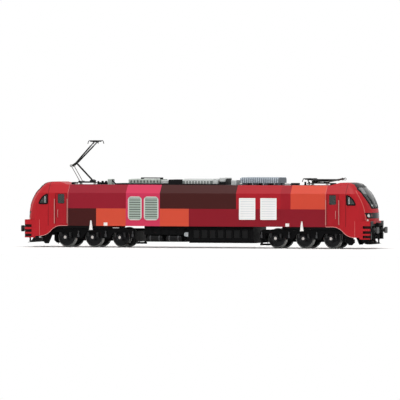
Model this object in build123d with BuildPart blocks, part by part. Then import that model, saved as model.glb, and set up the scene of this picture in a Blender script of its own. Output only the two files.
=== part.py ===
from build123d import *
from math import atan2, cos, degrees, radians, sin, sqrt
import os

# Model electric locomotive, scale 1:87, with two cabs on two three-axle bogies.
# Millimetres, +Z up, +X along the track, origin on the floor under the middle.
# Sizes that end in _h are heights above the rail, which lies one flange depth above the floor.

# Driving dimensions: wheels and track
flange_depth = 1.0
tread_diameter = 12.3
wheel_back_to_back = 14.4
tyre_width = 2.8
flange_width = 0.9
rim_depth = 1.0
web_recess = 0.6
hub_radius = 2.3
axle_radius = 1.1
axle_length = 27.6
axle_pitch = 20.4
bogie_overhang = 54.0

# Driving dimensions: body
length_over_buffers = 264.6
body_width = 33.0
body_wall = 1.0
roof_width = 24.0
cab_crown_width = 18.0
sill_h = 14.3
cove_h = 37.6
cove_rise = 5.9
crown_rise = 1.9
cab_length = 32.6
nose_behind_buffers = 3.9
nose_bow_radius = 31.0
nose_corner_radius = 7.5
crown_foot = 1.8
crown_slope = 6.7

# Clearances
fit_gap = 0.05
running_gap = 0.06
rest_gap = 0.05
chassis_gap = 0.2

# Places that many pieces share
nose_tip_x = length_over_buffers / 2 - nose_behind_buffers
body_half = body_width / 2
roof_half = roof_width / 2
tread_radius = tread_diameter / 2
bogie_x = length_over_buffers / 2 - bogie_overhang
roof_h = cove_h + cove_rise
cab_roof_h = roof_h + crown_rise
cab_back_x = nose_tip_x - cab_length
crown_foot_x = cab_back_x + crown_foot
crown_back_x = crown_foot_x + crown_slope
both_ends = (-1, 1)

os.makedirs("parts", exist_ok=True)


def level(height):
    """Height above the floor of a height above the rail."""
    return flange_depth + height


axle_z = level(tread_radius)
sill_z = level(sill_h)
roof_z = level(roof_h)


def save(piece, label):
    """Name a finished piece and write its STEP file."""
    piece.label = label
    export_step(piece, f"parts/{label}.step")


def at_end(piece, number):
    """A piece drawn for the +X end: itself as number 2, its mirror image as number 1."""
    return mirror(piece, about=Plane.YZ) if number == 1 else piece


def save_both_ends(piece, label):
    """Write a piece of the +X end as number 2 and its mirror image as number 1."""
    for number in (1, 2):
        save(at_end(piece, number), f"{label}_{number}")


def side_plane(y, x=0, z=0):
    """Upright plane seen by someone who stands at -Y: X to the right, Z up."""
    return Plane(origin=(x, y, z), x_dir=(1, 0, 0), z_dir=(0, -1, 0))


def pivot_cylinder(x, z, radius, half_length, mode=Mode.ADD):
    """Cylinder along Y about a pin or pivot."""
    with BuildSketch(side_plane(0, x, z)) as disc:
        Circle(radius)
    extrude(disc.sketch, amount=half_length, both=True, mode=mode)


def tube(start, finish, radius):
    """Round tube between two points."""
    along = Vector(*finish) - Vector(*start)
    with BuildSketch(Plane(origin=start, z_dir=along)) as disc:
        Circle(radius)
    extrude(disc.sketch, amount=along.length)


def bent_tube(start, direction, finish, radius):
    """Round tube that leaves a point in a direction and curves to another point."""
    with BuildLine() as curve:
        TangentArc(start, finish, tangent=direction)
    with BuildSketch(Plane(origin=start, z_dir=direction)) as disc:
        Circle(radius)
    sweep(disc.sketch, path=curve.wires()[0])


# Body form: a straight machine room between two cabs with bowed, raked noses
# Nose profile, lowest first: height above the rail, and how far the front lies behind the nose tip.
nose_tip_rise = 9.9
rake_start_rise = 6.6
cove_middle_rise = 2.9
crown_middle_rise = 1.2
side_rows = (
    (sill_h, 0.6), (sill_h + nose_tip_rise, 0.0), (cove_h - rake_start_rise, 1.7), (cove_h, 5.15),
)
cove_rows = ((cove_h, 5.15), (cove_h + cove_middle_rise, 7.5), (roof_h, 10.4))
# The crown over the cab also has a corner radius of its own at each height.
crown_rows = (
    (roof_h, 10.4, nose_corner_radius), (roof_h + crown_middle_rise, 12.4, 5.5), (cab_roof_h, 16.0, 4.0),
)


def nose_plan(front_x, half_width, back_x, inset, corner_radius=nose_corner_radius):
    """Plan of a cab: straight back and sides, a round corner each side and a bowed front."""
    bow = nose_bow_radius - inset
    corner = corner_radius - inset
    half = half_width - inset
    bow_x = front_x - inset - bow
    corner_y = half - corner
    corner_x = bow_x + sqrt((bow - corner) ** 2 - corner_y**2)
    turn = degrees(atan2(corner_y, corner_x - bow_x))
    with BuildLine() as plan:
        Line((corner_x, half), (back_x, half))
        Line((back_x, half), (back_x, -half))
        Line((back_x, -half), (corner_x, -half))
        CenterArc((corner_x, -corner_y), corner, -90, 90 - turn)
        CenterArc((bow_x, 0), bow, -turn, 2 * turn)
        CenterArc((corner_x, corner_y), corner, turn, 90 - turn)
    return plan.edges()


def span(height, low, high, low_value, high_value):
    """Value at a height on the straight line between two heights."""
    return low_value + (high_value - low_value) * (height - low) / (high - low)


def body_form(inset):
    """The body as one solid or, with an inset, the room inside its walls."""
    half = body_half - inset
    top_z = roof_z - inset
    with BuildPart() as form:
        with BuildSketch(Plane.YZ):
            Polygon(
                (-half, sill_z - inset), (half, sill_z - inset), (half, level(cove_h)),
                (roof_half - inset, top_z), (inset - roof_half, top_z), (-half, level(cove_h)),
                align=None,
            )
        extrude(amount=cab_back_x)
        for height, setback in side_rows:
            foot = inset if height == sill_h else 0
            with BuildSketch(Plane.XY.offset(level(height) - foot)):
                make_face(nose_plan(nose_tip_x - setback, body_half, cab_back_x, inset))
        loft()
        for height, setback in cove_rows:
            half_width = span(height, cove_h, roof_h, body_half, roof_half)
            with BuildSketch(Plane.XY.offset(level(height))):
                make_face(nose_plan(nose_tip_x - setback, half_width, cab_back_x, inset))
        loft()
        if inset:
            with Locations((0, 0, top_z)):
                Box(length_over_buffers, body_width, body_width, mode=Mode.SUBTRACT,
                    align=(Align.CENTER, Align.CENTER, Align.MIN))
        else:
            for height, setback, corner_radius in crown_rows:
                half_width = span(height, roof_h, cab_roof_h, roof_half, cab_crown_width / 2)
                back_x = span(height, roof_h, cab_roof_h, crown_foot_x, crown_back_x)
                with BuildSketch(Plane.XY.offset(level(height))):
                    make_face(nose_plan(nose_tip_x - setback, half_width, back_x, inset, corner_radius))
            loft()
        mirror(about=Plane.YZ)
    return form.part


# Front skirt: side cheeks with a swept lower edge, and a beam with corner towers and steps
beam_depth = 11.4
beam_proud = 0.2
beam_top_h = 18.6
beam_opening_h = 15.2
tower_bottom_h = 5.8
tower_depth = 7.9
tower_width = 3.6
skirt_bottom_h = 7.0
skirt_wall = 1.2
sweep_length = 16.0
sweep_behind_beam = 0.4
beam_corner_radius = 1.6
step_length = 5.6
step_depth = 1.6
step_height = 1.9
step_heights = (14.2, 10.7, 7.5)
tower_inner_y = body_half - tower_width
beam_front_x = nose_tip_x + beam_proud
beam_back_x = nose_tip_x - beam_depth
tower_back_x = nose_tip_x - tower_depth
sweep_end_x = beam_back_x - sweep_behind_beam
sweep_start_x = sweep_end_x - sweep_length

walls = body_form(0) - body_form(body_wall)

# Glass, lamps and panels let into the body wall
# Windscreen outline, front view: half width and height above the cove line, lowest first.
screen_points = ((7.3, -9.8), (11.0, -1.2), (11.4, 2.8), (9.6, 4.8))
screen_corner_radius = 1.2
door_from_cab_back = 5.0
door_width = 8.6
door_sill = 0.9
door_head = 0.4
door_groove = 0.3
door_groove_depth = 0.25
door_window_width = 4.9
door_window_height = 6.6
door_window_radius = 0.7
window_head = 0.9
cab_window_length = 6.2
cab_window_height = 6.8
cab_window_behind_nose = 11.0
cab_window_bulge = 1.1
door_x = cab_back_x + door_from_cab_back
door_bottom_h = sill_h + door_sill
door_top_h = cove_h - door_head
door_window_top_h = cove_h - window_head
door_window_bottom_h = door_window_top_h - door_window_height
cab_window_top_h = cove_h - window_head
cab_window_bottom_h = cab_window_top_h - cab_window_height
cab_window_front_x = nose_tip_x - cab_window_behind_nose
cab_window_rear_x = cab_window_front_x - cab_window_length

# Lamps in the nose, right half: distance from the middle, height, radius.
housing_bottom_h = 20.4
housing_height = 4.0
housing_half = 14.9
housing_slant = 1.3
lamp_h = housing_bottom_h + housing_height / 2
upper_lamp_drop = 8.0
roof_lamp_rise = 0.9
lamp_reach = 14.9
head_lamp = (12.2, lamp_h, 1.15)
tail_lamp = (8.8, lamp_h, 1.0)
upper_lamp = (6.2, cove_h - upper_lamp_drop, 0.65)
roof_lamp = (0.0, roof_h + roof_lamp_rise, 0.6)
lamp_start_x = nose_tip_x - lamp_reach
housing_top_h = housing_bottom_h + housing_height


def screen_outline(gap):
    """Front view of the windscreen opening, drawn in by a gap for the pane itself."""
    right = [(y, level(cove_h + rise)) for y, rise in screen_points]
    left = [(-y, z) for y, z in reversed(right)]
    Polygon(*right, *left, align=None)
    fillet(vertices(), screen_corner_radius)
    if gap:
        offset(amount=-gap, mode=Mode.REPLACE)


def housing_outline(gap):
    """Front view of the lamp band, one opening across the nose with slanted ends."""
    low = level(housing_bottom_h)
    high = level(housing_top_h)
    foot = housing_half - housing_slant
    Polygon((-foot, low), (foot, low), (housing_half, high), (-housing_half, high), align=None)
    if gap:
        offset(amount=-gap, mode=Mode.REPLACE)


def side_window_outline(gap):
    """Side view of a cab's two openings: the door window and the quarter-round cab window."""
    door_middle_z = level((door_window_bottom_h + door_window_top_h) / 2)
    with Locations((door_x, door_middle_z)):
        RectangleRounded(door_window_width, door_window_top_h - door_window_bottom_h, door_window_radius)
    rear_top = (cab_window_rear_x, level(cab_window_top_h))
    front_bottom = (cab_window_front_x, level(cab_window_bottom_h))
    with BuildLine() as quarter:
        Line(rear_top, (cab_window_rear_x, level(cab_window_bottom_h)))
        Line((cab_window_rear_x, level(cab_window_bottom_h)), front_bottom)
        SagittaArc(front_bottom, rear_top, -cab_window_bulge)
    make_face(quarter.edges())
    if gap:
        offset(amount=-gap, mode=Mode.REPLACE)


def lamp_outlines(lamps, gap, mode=Mode.ADD):
    """Front view of round lamps, right and left."""
    for y, height, radius in lamps:
        with Locations((y, level(height)), (-y, level(height))):
            Circle(radius + gap, mode=mode)


# Grilles and louvre panels: where each starts and ends, as shares of half the machine room
grille_shares = ((-0.529, -0.423), (-0.405, -0.292))
grille_above_sill = 4.2
grille_below_cove = 2.4
grille_corner_radius = 2.6
grille_slats = 9
louvre_shares = ((0.333, 0.458), (0.497, 0.622))
louvre_above_sill = 4.9
louvre_below_cove = 3.2
louvre_corner_radius = 0.4
louvre_slats = 8
panel_pocket_depth = 0.6
panel_back = 0.25
panel_proud = 0.15
panel_border = 0.8
slat_gap = 0.5
grille_spans = [(start * cab_back_x, end * cab_back_x) for start, end in grille_shares]
grille_bottom_h = sill_h + grille_above_sill
grille_top_h = cove_h - grille_below_cove
louvre_spans = [(start * cab_back_x, end * cab_back_x) for start, end in louvre_shares]
louvre_bottom_h = sill_h + louvre_above_sill
louvre_top_h = cove_h - louvre_below_cove

with BuildPart() as side_cuts:
    for end in both_ends:
        with BuildSketch(side_plane(-body_half)):
            with Locations((end * door_x, level((door_bottom_h + door_top_h) / 2))):
                Rectangle(door_width, door_top_h - door_bottom_h)
                Rectangle(door_width - 2 * door_groove, door_top_h - door_bottom_h - 2 * door_groove,
                          mode=Mode.SUBTRACT)
        extrude(amount=-door_groove_depth)
    for spans, low_h, high_h, radius in (
        (grille_spans, grille_bottom_h, grille_top_h, grille_corner_radius),
        (louvre_spans, louvre_bottom_h, louvre_top_h, louvre_corner_radius),
    ):
        for start_x, end_x in spans:
            with BuildSketch(side_plane(-body_half)):
                with Locations(((start_x + end_x) / 2, level((low_h + high_h) / 2))):
                    RectangleRounded(end_x - start_x + 2 * fit_gap, high_h - low_h + 2 * fit_gap, radius)
            extrude(amount=-panel_pocket_depth)
    mirror(about=Plane.XZ)

with BuildPart() as front_cuts:
    with BuildSketch(Plane.YZ.offset(cab_back_x)):
        screen_outline(0)
        housing_outline(0)
    extrude(amount=nose_tip_x - cab_back_x + 1)
    with BuildSketch(Plane.YZ.offset(lamp_start_x)):
        lamp_outlines((roof_lamp,), fit_gap)
    extrude(amount=nose_tip_x - lamp_start_x)
    with BuildSketch(side_plane(0)):
        side_window_outline(0)
    extrude(amount=body_width, both=True)
    with Locations((beam_back_x, 0, 0)):
        Box(nose_tip_x, body_width, level(beam_top_h), align=(Align.MIN, Align.CENTER, Align.MIN))
    mirror(about=Plane.YZ)

with BuildPart() as body_shell:
    add(walls)
    add(side_cuts.part, mode=Mode.SUBTRACT)
    add(front_cuts.part, mode=Mode.SUBTRACT)
save(body_shell.part, "body_shell")


# Glazing: panes as thick as the body wall, let in with a small gap
with BuildPart() as windscreens:
    add(walls)
    with BuildSketch(Plane.YZ.offset(cab_back_x)):
        screen_outline(fit_gap)
        lamp_outlines((upper_lamp,), fit_gap, Mode.SUBTRACT)
    extrude(amount=nose_tip_x - cab_back_x + 1, mode=Mode.INTERSECT)
    mirror(about=Plane.YZ)
save(windscreens.part, "windscreens")

with BuildPart() as side_glass:
    add(walls)
    with BuildSketch(side_plane(0)):
        side_window_outline(fit_gap)
        mirror(about=Plane.YZ)
    extrude(amount=body_width, both=True, mode=Mode.INTERSECT)
save(side_glass.part, "side_glass")

# Lamps: dark housings that wrap round the nose corners, and lenses flush with the nose
with BuildPart() as lamp_housings:
    add(walls)
    with BuildSketch(Plane.YZ.offset(cab_back_x)):
        housing_outline(fit_gap)
        lamp_outlines((head_lamp, tail_lamp), fit_gap, Mode.SUBTRACT)
    extrude(amount=nose_tip_x - cab_back_x + 1, mode=Mode.INTERSECT)
    mirror(about=Plane.YZ)
save(lamp_housings.part, "lamp_housings")

for label, lamps in (("head_lamps", (head_lamp, upper_lamp, roof_lamp)), ("tail_lamps", (tail_lamp,))):
    with BuildPart() as lenses:
        add(walls)
        with BuildSketch(Plane.YZ.offset(lamp_start_x)):
            lamp_outlines(lamps, 0)
        extrude(amount=nose_tip_x - lamp_start_x + 1, mode=Mode.INTERSECT)
        mirror(about=Plane.YZ)
    save(lenses.part, label)

# Side panels: a frame, a back and level slats, seated in a pocket of the body side
for label, spans, low_h, high_h, radius, slats in (
    ("round_grilles", grille_spans, grille_bottom_h, grille_top_h, grille_corner_radius, grille_slats),
    ("louvre_panels", louvre_spans, louvre_bottom_h, louvre_top_h, louvre_corner_radius, louvre_slats),
):
    seat = side_plane(panel_pocket_depth - body_half)
    height = high_h - low_h
    slat_pitch = (height - 2 * panel_border) / slats
    with BuildPart() as panels:
        for start_x, end_x in spans:
            width = end_x - start_x
            middle = ((start_x + end_x) / 2, level((low_h + high_h) / 2))
            with BuildSketch(seat):
                with Locations(middle):
                    RectangleRounded(width, height, radius)
            extrude(amount=panel_back)
            with BuildSketch(seat):
                with Locations(middle):
                    RectangleRounded(width, height, radius)
                    Rectangle(width - 2 * panel_border, height - 2 * panel_border, mode=Mode.SUBTRACT)
            extrude(amount=panel_pocket_depth + panel_proud)
            with BuildSketch(seat):
                with Locations(middle):
                    with GridLocations(0, slat_pitch, 1, slats):
                        Rectangle(width - 2 * panel_border, slat_pitch - slat_gap)
            extrude(amount=panel_pocket_depth)
        mirror(about=Plane.XZ)
    save(panels.part, label)

# Front skirts
with BuildPart() as front_skirts:
    with BuildSketch(side_plane(0)):
        with BuildLine():
            fall = TangentArc(
                (sweep_start_x, sill_z),
                ((sweep_start_x + sweep_end_x) / 2, level((sill_h + skirt_bottom_h) / 2)),
                tangent=(1, 0),
            )
            TangentArc(fall @ 1, (sweep_end_x, level(skirt_bottom_h)), tangent=fall % 1)
            Polyline(
                (sweep_end_x, level(skirt_bottom_h)), (tower_back_x, level(skirt_bottom_h)),
                (tower_back_x, level(tower_bottom_h)), (beam_front_x, level(tower_bottom_h)),
                (beam_front_x, level(beam_top_h)), (beam_back_x, level(beam_top_h)),
                (beam_back_x, sill_z), (sweep_start_x, sill_z),
            )
        make_face()
    extrude(amount=body_half, both=True)
    fillet(front_skirts.edges().filter_by(Axis.Z).group_by(Axis.X)[-1], beam_corner_radius)
    with BuildSketch(Plane.XY.offset(level(tower_bottom_h))):
        with Locations(((sweep_start_x + tower_back_x) / 2, 0)):
            Rectangle(tower_back_x - sweep_start_x, body_width - 2 * skirt_wall)
    extrude(amount=level(beam_top_h), mode=Mode.SUBTRACT)
    with BuildSketch(Plane.XY.offset(level(tower_bottom_h))):
        with Locations(((tower_back_x + beam_front_x) / 2, 0)):
            Rectangle(beam_front_x - tower_back_x, 2 * tower_inner_y)
    extrude(amount=beam_opening_h - tower_bottom_h, mode=Mode.SUBTRACT)
    for hand in both_ends:
        for height in step_heights:
            with Locations((beam_front_x, hand * body_half, level(height))):
                Box(2 * step_length, 2 * step_depth, step_height, mode=Mode.SUBTRACT)
    mirror(about=Plane.YZ)
save(front_skirts.part, "front_skirts")

# Chassis: a cast floor with ballast, buffer beams, webs over the bogies and the bogie pivot pins
floor_thickness = 2.0
floor_half = body_half - body_wall - chassis_gap
floor_behind_beam = 0.5
buffer_beam_behind_nose = 2.4
buffer_beam_bottom_h = 7.2
ballast_half = 13.0
ballast_below_cove = 1.6
ballast_from_cab = 5.8
ballast_chamfer = 4.0
motor_bay_half = 24.0
pivot_pin_radius = 2.4
pivot_pin_bottom_h = 8.8
pivot_boss_radius = 4.2
bogie_top_h = 12.3
web_inner_y = 13.2
web_thickness = 1.4
web_inner_reach = 12.0
web_outer_reach = 28.0
swivel_gap = 0.25
floor_top_z = sill_z + floor_thickness
floor_end_x = beam_back_x - floor_behind_beam
buffer_beam_front_x = nose_tip_x - buffer_beam_behind_nose
ballast_outer_x = cab_back_x - ballast_from_cab
ballast_top_h = cove_h - ballast_below_cove

with BuildPart() as chassis_frame:
    with BuildSketch(Plane.XY.offset(sill_z)):
        Rectangle(2 * floor_end_x, 2 * floor_half)
    extrude(amount=floor_thickness)
    with BuildSketch(Plane.XY.offset(floor_top_z)):
        Rectangle(2 * ballast_outer_x, 2 * ballast_half)
        Rectangle(2 * motor_bay_half, 2 * ballast_half, mode=Mode.SUBTRACT)
    extrude(amount=level(ballast_top_h) - floor_top_z)
    chamfer(chassis_frame.edges().filter_by(Axis.X).group_by(Axis.Z)[-1], ballast_chamfer)
    for end in both_ends:
        with BuildSketch(Plane.XY.offset(level(buffer_beam_bottom_h))):
            with Locations((end * (floor_end_x + buffer_beam_front_x) / 2, 0)):
                Rectangle(buffer_beam_front_x - floor_end_x, 2 * (tower_inner_y - chassis_gap))
        extrude(amount=beam_opening_h - chassis_gap - buffer_beam_bottom_h)
        with BuildSketch(Plane.XY.offset(level(bogie_top_h) + swivel_gap)):
            with Locations((end * (bogie_x + (web_outer_reach - web_inner_reach) / 2), 0)):
                with GridLocations(0, 2 * web_inner_y + web_thickness, 1, 2):
                    Rectangle(web_inner_reach + web_outer_reach, web_thickness)
        extrude(amount=sill_h - bogie_top_h - swivel_gap)
        with BuildSketch(Plane.XY.offset(level(bogie_top_h) + rest_gap)):
            with Locations((end * bogie_x, 0)):
                Circle(pivot_boss_radius)
        extrude(until=Until.NEXT)
        with BuildSketch(Plane.XY.offset(level(pivot_pin_bottom_h))):
            with Locations((end * bogie_x, 0)):
                Circle(pivot_pin_radius)
        extrude(until=Until.NEXT)
save(chassis_frame.part, "chassis_frame")

motor_length = 40.0
motor_width = 18.0
motor_height = 18.0
motor_corner_radius = 2.0
with BuildPart() as motor:
    with BuildSketch(Plane.XY.offset(floor_top_z)):
        RectangleRounded(motor_length, motor_width, motor_corner_radius)
    extrude(amount=motor_height)
save(motor.part, "motor")

# Cab interiors: floor, bulkhead, desk and two seats in one moulding
cab_floor_thickness = 0.8
desk_behind_floor_end = 1.0
desk_depth = 4.5
desk_half = 11.0
desk_h = 26.5
desk_slope = 2.0
bulkhead_below_roof = 2.5
bulkhead_half = 12.5
seat_behind_desk = 6.0
seat_y = 6.0
seat_size = 4.5
seat_h = 22.5
seat_back_h = 29.0
cab_floor_x = cab_back_x + chassis_gap
cab_front_x = floor_end_x - desk_behind_floor_end
desk_back_x = cab_front_x - desk_depth
seat_x = desk_back_x - seat_behind_desk
bulkhead_h = roof_h - bulkhead_below_roof

with BuildPart() as cab_interiors:
    with BuildSketch(side_plane(0)):
        Polygon((cab_floor_x, floor_top_z), (cab_front_x, floor_top_z), (cab_front_x, level(desk_h)),
                (cab_front_x - desk_slope, level(desk_h)), (desk_back_x, level(desk_h) - desk_slope),
                (desk_back_x, floor_top_z + cab_floor_thickness),
                (cab_floor_x, floor_top_z + cab_floor_thickness), align=None)
    extrude(amount=desk_half, both=True)
    with BuildSketch(Plane.YZ.offset(cab_floor_x)):
        with Locations((0, (floor_top_z + level(bulkhead_h)) / 2)):
            Rectangle(2 * bulkhead_half, level(bulkhead_h) - floor_top_z)
    extrude(amount=cab_floor_thickness)
    for hand in both_ends:
        with BuildSketch(Plane.XY.offset(floor_top_z)):
            with Locations((seat_x, hand * seat_y)):
                Rectangle(seat_size, seat_size)
        extrude(amount=level(seat_h) - floor_top_z)
        with BuildSketch(Plane.XY.offset(floor_top_z)):
            with Locations((seat_x - seat_size / 2, hand * seat_y)):
                Rectangle(cab_floor_thickness * 2, seat_size)
        extrude(amount=level(seat_back_h) - floor_top_z)
    mirror(about=Plane.YZ)
save(cab_interiors.part, "cab_interiors")

# Handrails beside the doors: an upright held off the body by two posts
rail_radius = 0.3
rail_post_radius = 0.22
rail_stand_off = 0.7
rail_bottom_h = 16.2
rail_below_cove = 4.6
rail_beside_door = 0.5
rail_top_h = cove_h - rail_below_cove
with BuildPart() as handrails:
    for end in both_ends:
        for beside in both_ends:
            rail_x = end * door_x + beside * (door_width / 2 + rail_beside_door)
            with BuildSketch(Plane.XY.offset(level(rail_bottom_h) - rail_radius)):
                with Locations((rail_x, -body_half - rail_stand_off)):
                    Circle(rail_radius)
            extrude(amount=rail_top_h - rail_bottom_h + 2 * rail_radius)
            with BuildSketch(side_plane(-body_half)):
                with Locations((rail_x, level(rail_bottom_h)), (rail_x, level(rail_top_h))):
                    Circle(rail_post_radius)
            extrude(amount=rail_stand_off)
    mirror(about=Plane.XZ)
save(handrails.part, "handrails")

# Lifting lugs: slim tapered straps on the body side over each bogie centre
lug_top_h = 18.2
lug_bottom_h = 11.4
lug_top_width = 0.7
lug_bottom_width = 2.6
lug_thickness = 0.5
with BuildPart() as lifting_lugs:
    with BuildSketch(side_plane(-body_half)):
        for end in both_ends:
            Polygon((end * bogie_x - lug_bottom_width / 2, level(lug_bottom_h)),
                    (end * bogie_x + lug_bottom_width / 2, level(lug_bottom_h)),
                    (end * bogie_x + lug_top_width / 2, level(lug_top_h)),
                    (end * bogie_x - lug_top_width / 2, level(lug_top_h)), align=None)
    extrude(amount=lug_thickness)
    mirror(about=Plane.XZ)
save(lifting_lugs.part, "lifting_lugs")

# Buffers, coupling hooks, air hoses and ploughs
buffer_y = 10.05
buffer_h = 12.15
sleeve_radius = 1.75
sleeve_length = 3.4
sleeve_foot = 4.4
sleeve_foot_thickness = 0.5
sleeve_foot_radius = 0.7
plunger_radius = 1.3
head_width = 5.2
head_height = 4.4
head_thickness = 1.0
head_corner_radius = 1.0
buffer_face_x = length_over_buffers / 2
sleeve_end_x = buffer_beam_front_x + sleeve_length
buffer_places = ((-buffer_y, level(buffer_h)), (buffer_y, level(buffer_h)))

with BuildPart() as buffer_sleeves:
    with BuildSketch(Plane.YZ.offset(buffer_beam_front_x)):
        with Locations(*buffer_places):
            Circle(sleeve_radius)
    extrude(amount=sleeve_length)
    with BuildSketch(Plane.YZ.offset(buffer_beam_front_x)):
        with Locations(*buffer_places):
            RectangleRounded(sleeve_foot, sleeve_foot, sleeve_foot_radius)
    extrude(amount=sleeve_foot_thickness)
    mirror(about=Plane.YZ)
save(buffer_sleeves.part, "buffer_sleeves")

with BuildPart() as buffer_heads:
    with BuildSketch(Plane.YZ.offset(sleeve_end_x)):
        with Locations(*buffer_places):
            Circle(plunger_radius)
    extrude(amount=buffer_face_x - sleeve_end_x)
    with BuildSketch(Plane.YZ.offset(buffer_face_x - head_thickness)):
        with Locations(*buffer_places):
            RectangleRounded(head_width, head_height, head_corner_radius)
    extrude(amount=head_thickness)
    mirror(about=Plane.YZ)
save(buffer_heads.part, "buffer_heads")

hook_h = 11.6
hook_length = 4.6
hook_depth = 2.4
hook_half_thickness = 0.5
hook_throat_radius = 0.8
hook_throat_reach = 2.8
link_half = 0.85
link_radius = 0.28
link_drop = 4.4
link_pin_drop = 0.5
with BuildPart() as coupling_hooks:
    with BuildSketch(side_plane(0)):
        with Locations((buffer_beam_front_x + hook_length / 2, level(hook_h))):
            RectangleRounded(hook_length, hook_depth, hook_depth / 3)
        with Locations((buffer_beam_front_x + hook_length / 4, level(hook_h))):
            Rectangle(hook_length / 2, hook_depth)
        with Locations((buffer_beam_front_x + hook_throat_reach, level(hook_h) + hook_depth / 2)):
            Circle(hook_throat_radius, mode=Mode.SUBTRACT)
    extrude(amount=hook_half_thickness, both=True)
    link_x = buffer_beam_front_x + hook_throat_reach
    pin_z = level(hook_h) - link_pin_drop
    for link_z in (pin_z, pin_z - link_drop):
        pivot_cylinder(link_x, link_z, link_radius, link_half + 2 * link_radius)
    for hand in both_ends:
        tube((link_x, hand * link_half, pin_z), (link_x, hand * link_half, pin_z - link_drop), link_radius / 2)
    mirror(about=Plane.YZ)
save(coupling_hooks.part, "coupling_hooks")

hose_top_h = 9.4
hose_radius = 0.55
hose_nut_radius = 0.8
hose_nut_length = 0.6
# Each hose: distance from the middle, reach of its bend, length of its drop.
hose_rows = ((4.6, 2.2, 4.2), (6.6, 1.6, 2.4))
with BuildPart() as air_hoses:
    for hose_y, reach, drop in hose_rows:
        for hand in both_ends:
            start = Vector(buffer_beam_front_x, hand * hose_y, level(hose_top_h))
            bend_end = start + Vector(reach, 0, -reach)
            hose_end = bend_end - Vector(0, 0, drop)
            with BuildLine() as hose_path:
                TangentArc(start, bend_end, tangent=(1, 0, 0))
                Line(bend_end, hose_end)
            with BuildSketch(Plane(origin=start, z_dir=(1, 0, 0))):
                Circle(hose_radius)
            sweep(path=hose_path.wires()[0])
            tube(start, start + Vector(hose_nut_length, 0, 0), hose_nut_radius)
            tube(hose_end + Vector(0, 0, hose_nut_length), hose_end, hose_nut_radius)
    mirror(about=Plane.YZ)
save(air_hoses.part, "air_hoses")

plough_half = 14.6
plough_top_h = 5.7
plough_bottom_h = 2.3
plough_top_setback = 3.6
plough_reach = 1.6
plough_thickness = 0.9
plough_bracket_width = 3.0
plough_bracket_y = 8.0
plough_top_x = buffer_beam_front_x - plough_top_setback
plough_front_x = buffer_beam_front_x + plough_reach
with BuildPart() as ploughs:
    with BuildSketch(side_plane(0)):
        with BuildLine():
            top_front = (plough_top_x, level(plough_top_h))
            low_front = (plough_front_x, level(plough_bottom_h))
            SagittaArc(top_front, low_front, -plough_thickness)
            Line(low_front, (plough_front_x - 2 * plough_thickness, level(plough_bottom_h)))
            SagittaArc((plough_front_x - 2 * plough_thickness, level(plough_bottom_h)),
                       (plough_top_x - plough_thickness, level(plough_top_h)), plough_thickness)
            Line((plough_top_x - plough_thickness, level(plough_top_h)), top_front)
        make_face()
    extrude(amount=plough_half, both=True)
    with BuildSketch(Plane.XY.offset(level(plough_top_h))):
        with Locations((plough_top_x, -plough_bracket_y), (plough_top_x, plough_bracket_y)):
            Rectangle(plough_bracket_width, plough_bracket_width)
    extrude(amount=buffer_beam_bottom_h - plough_top_h)
    mirror(about=Plane.YZ)
save(ploughs.part, "ploughs")

# Underfloor gear between the bogies: equipment box, fuel tank and its filler
belly_half = 15.2
belly_chamfer = 2.6
box_shares = (-0.407, -0.099)
box_bottom_h = 3.2
tank_shares = (-0.066, 0.438)
tank_bottom_h = 2.6
rib_pitch = 6.0
rib_width = 0.8
rib_depth = 0.4
filler_radius = 1.5
filler_h = 8.6
filler_length = 3.6
tank_start_x = tank_shares[0] * cab_back_x

reservoir_radius = 2.4
reservoir_rows = ((0.06, 0.46), (0.54, 0.94))
reservoir_h = 5.8
reservoir_end_radius = 1.2
reservoir_y = belly_half - reservoir_radius
box_start_x, box_end_x = [share * cab_back_x for share in box_shares]


def belly_form(start_x, end_x, bottom_h):
    """A ribbed box between the bogies, with chamfered lower edges."""
    ribs = int((end_x - start_x) / rib_pitch)
    with BuildPart() as belly:
        with BuildSketch(Plane.YZ.offset(start_x)):
            with Locations((0, (level(bottom_h) + sill_z) / 2)):
                Rectangle(2 * (belly_half - rib_depth), sill_z - level(bottom_h))
            chamfer(vertices().group_by(Axis.Y)[0], belly_chamfer)
        extrude(amount=end_x - start_x)
        for hand in both_ends:
            with BuildSketch(Plane.XY.offset(level(bottom_h) + belly_chamfer)):
                with Locations(((start_x + end_x) / 2, hand * (belly_half - rib_depth))):
                    with GridLocations(rib_pitch, 0, ribs, 1):
                        Rectangle(rib_width, 2 * rib_depth)
            extrude(amount=sill_z - level(bottom_h) - belly_chamfer)
    return belly.part


with BuildPart() as equipment_box:
    add(belly_form(box_start_x, box_end_x, box_bottom_h))
    recess_top_h = reservoir_h + reservoir_radius + fit_gap
    recess_inner_y = reservoir_y - reservoir_radius - fit_gap
    for hand in both_ends:
        with Locations((box_start_x, hand * recess_inner_y, level(recess_top_h))):
            Box(box_end_x - box_start_x, belly_half, recess_top_h, mode=Mode.SUBTRACT,
                align=(Align.MIN, Align.MIN if hand > 0 else Align.MAX, Align.MAX))
save(equipment_box.part, "equipment_box")

with BuildPart() as air_reservoirs:
    for hand in both_ends:
        for start_share, end_share in reservoir_rows:
            reservoir_start_x = span(start_share, 0, 1, box_start_x, box_end_x)
            reservoir_end_x = span(end_share, 0, 1, box_start_x, box_end_x)
            with BuildSketch(Plane.YZ.offset(reservoir_start_x)):
                with Locations((hand * reservoir_y, level(reservoir_h))):
                    Circle(reservoir_radius)
            extrude(amount=reservoir_end_x - reservoir_start_x)
    fillet(air_reservoirs.edges().filter_by(GeomType.CIRCLE), reservoir_end_radius)
save(air_reservoirs.part, "air_reservoirs")

with BuildPart() as fuel_tank:
    add(belly_form(tank_start_x, tank_shares[1] * cab_back_x, tank_bottom_h))
save(fuel_tank.part, "fuel_tank")

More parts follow.
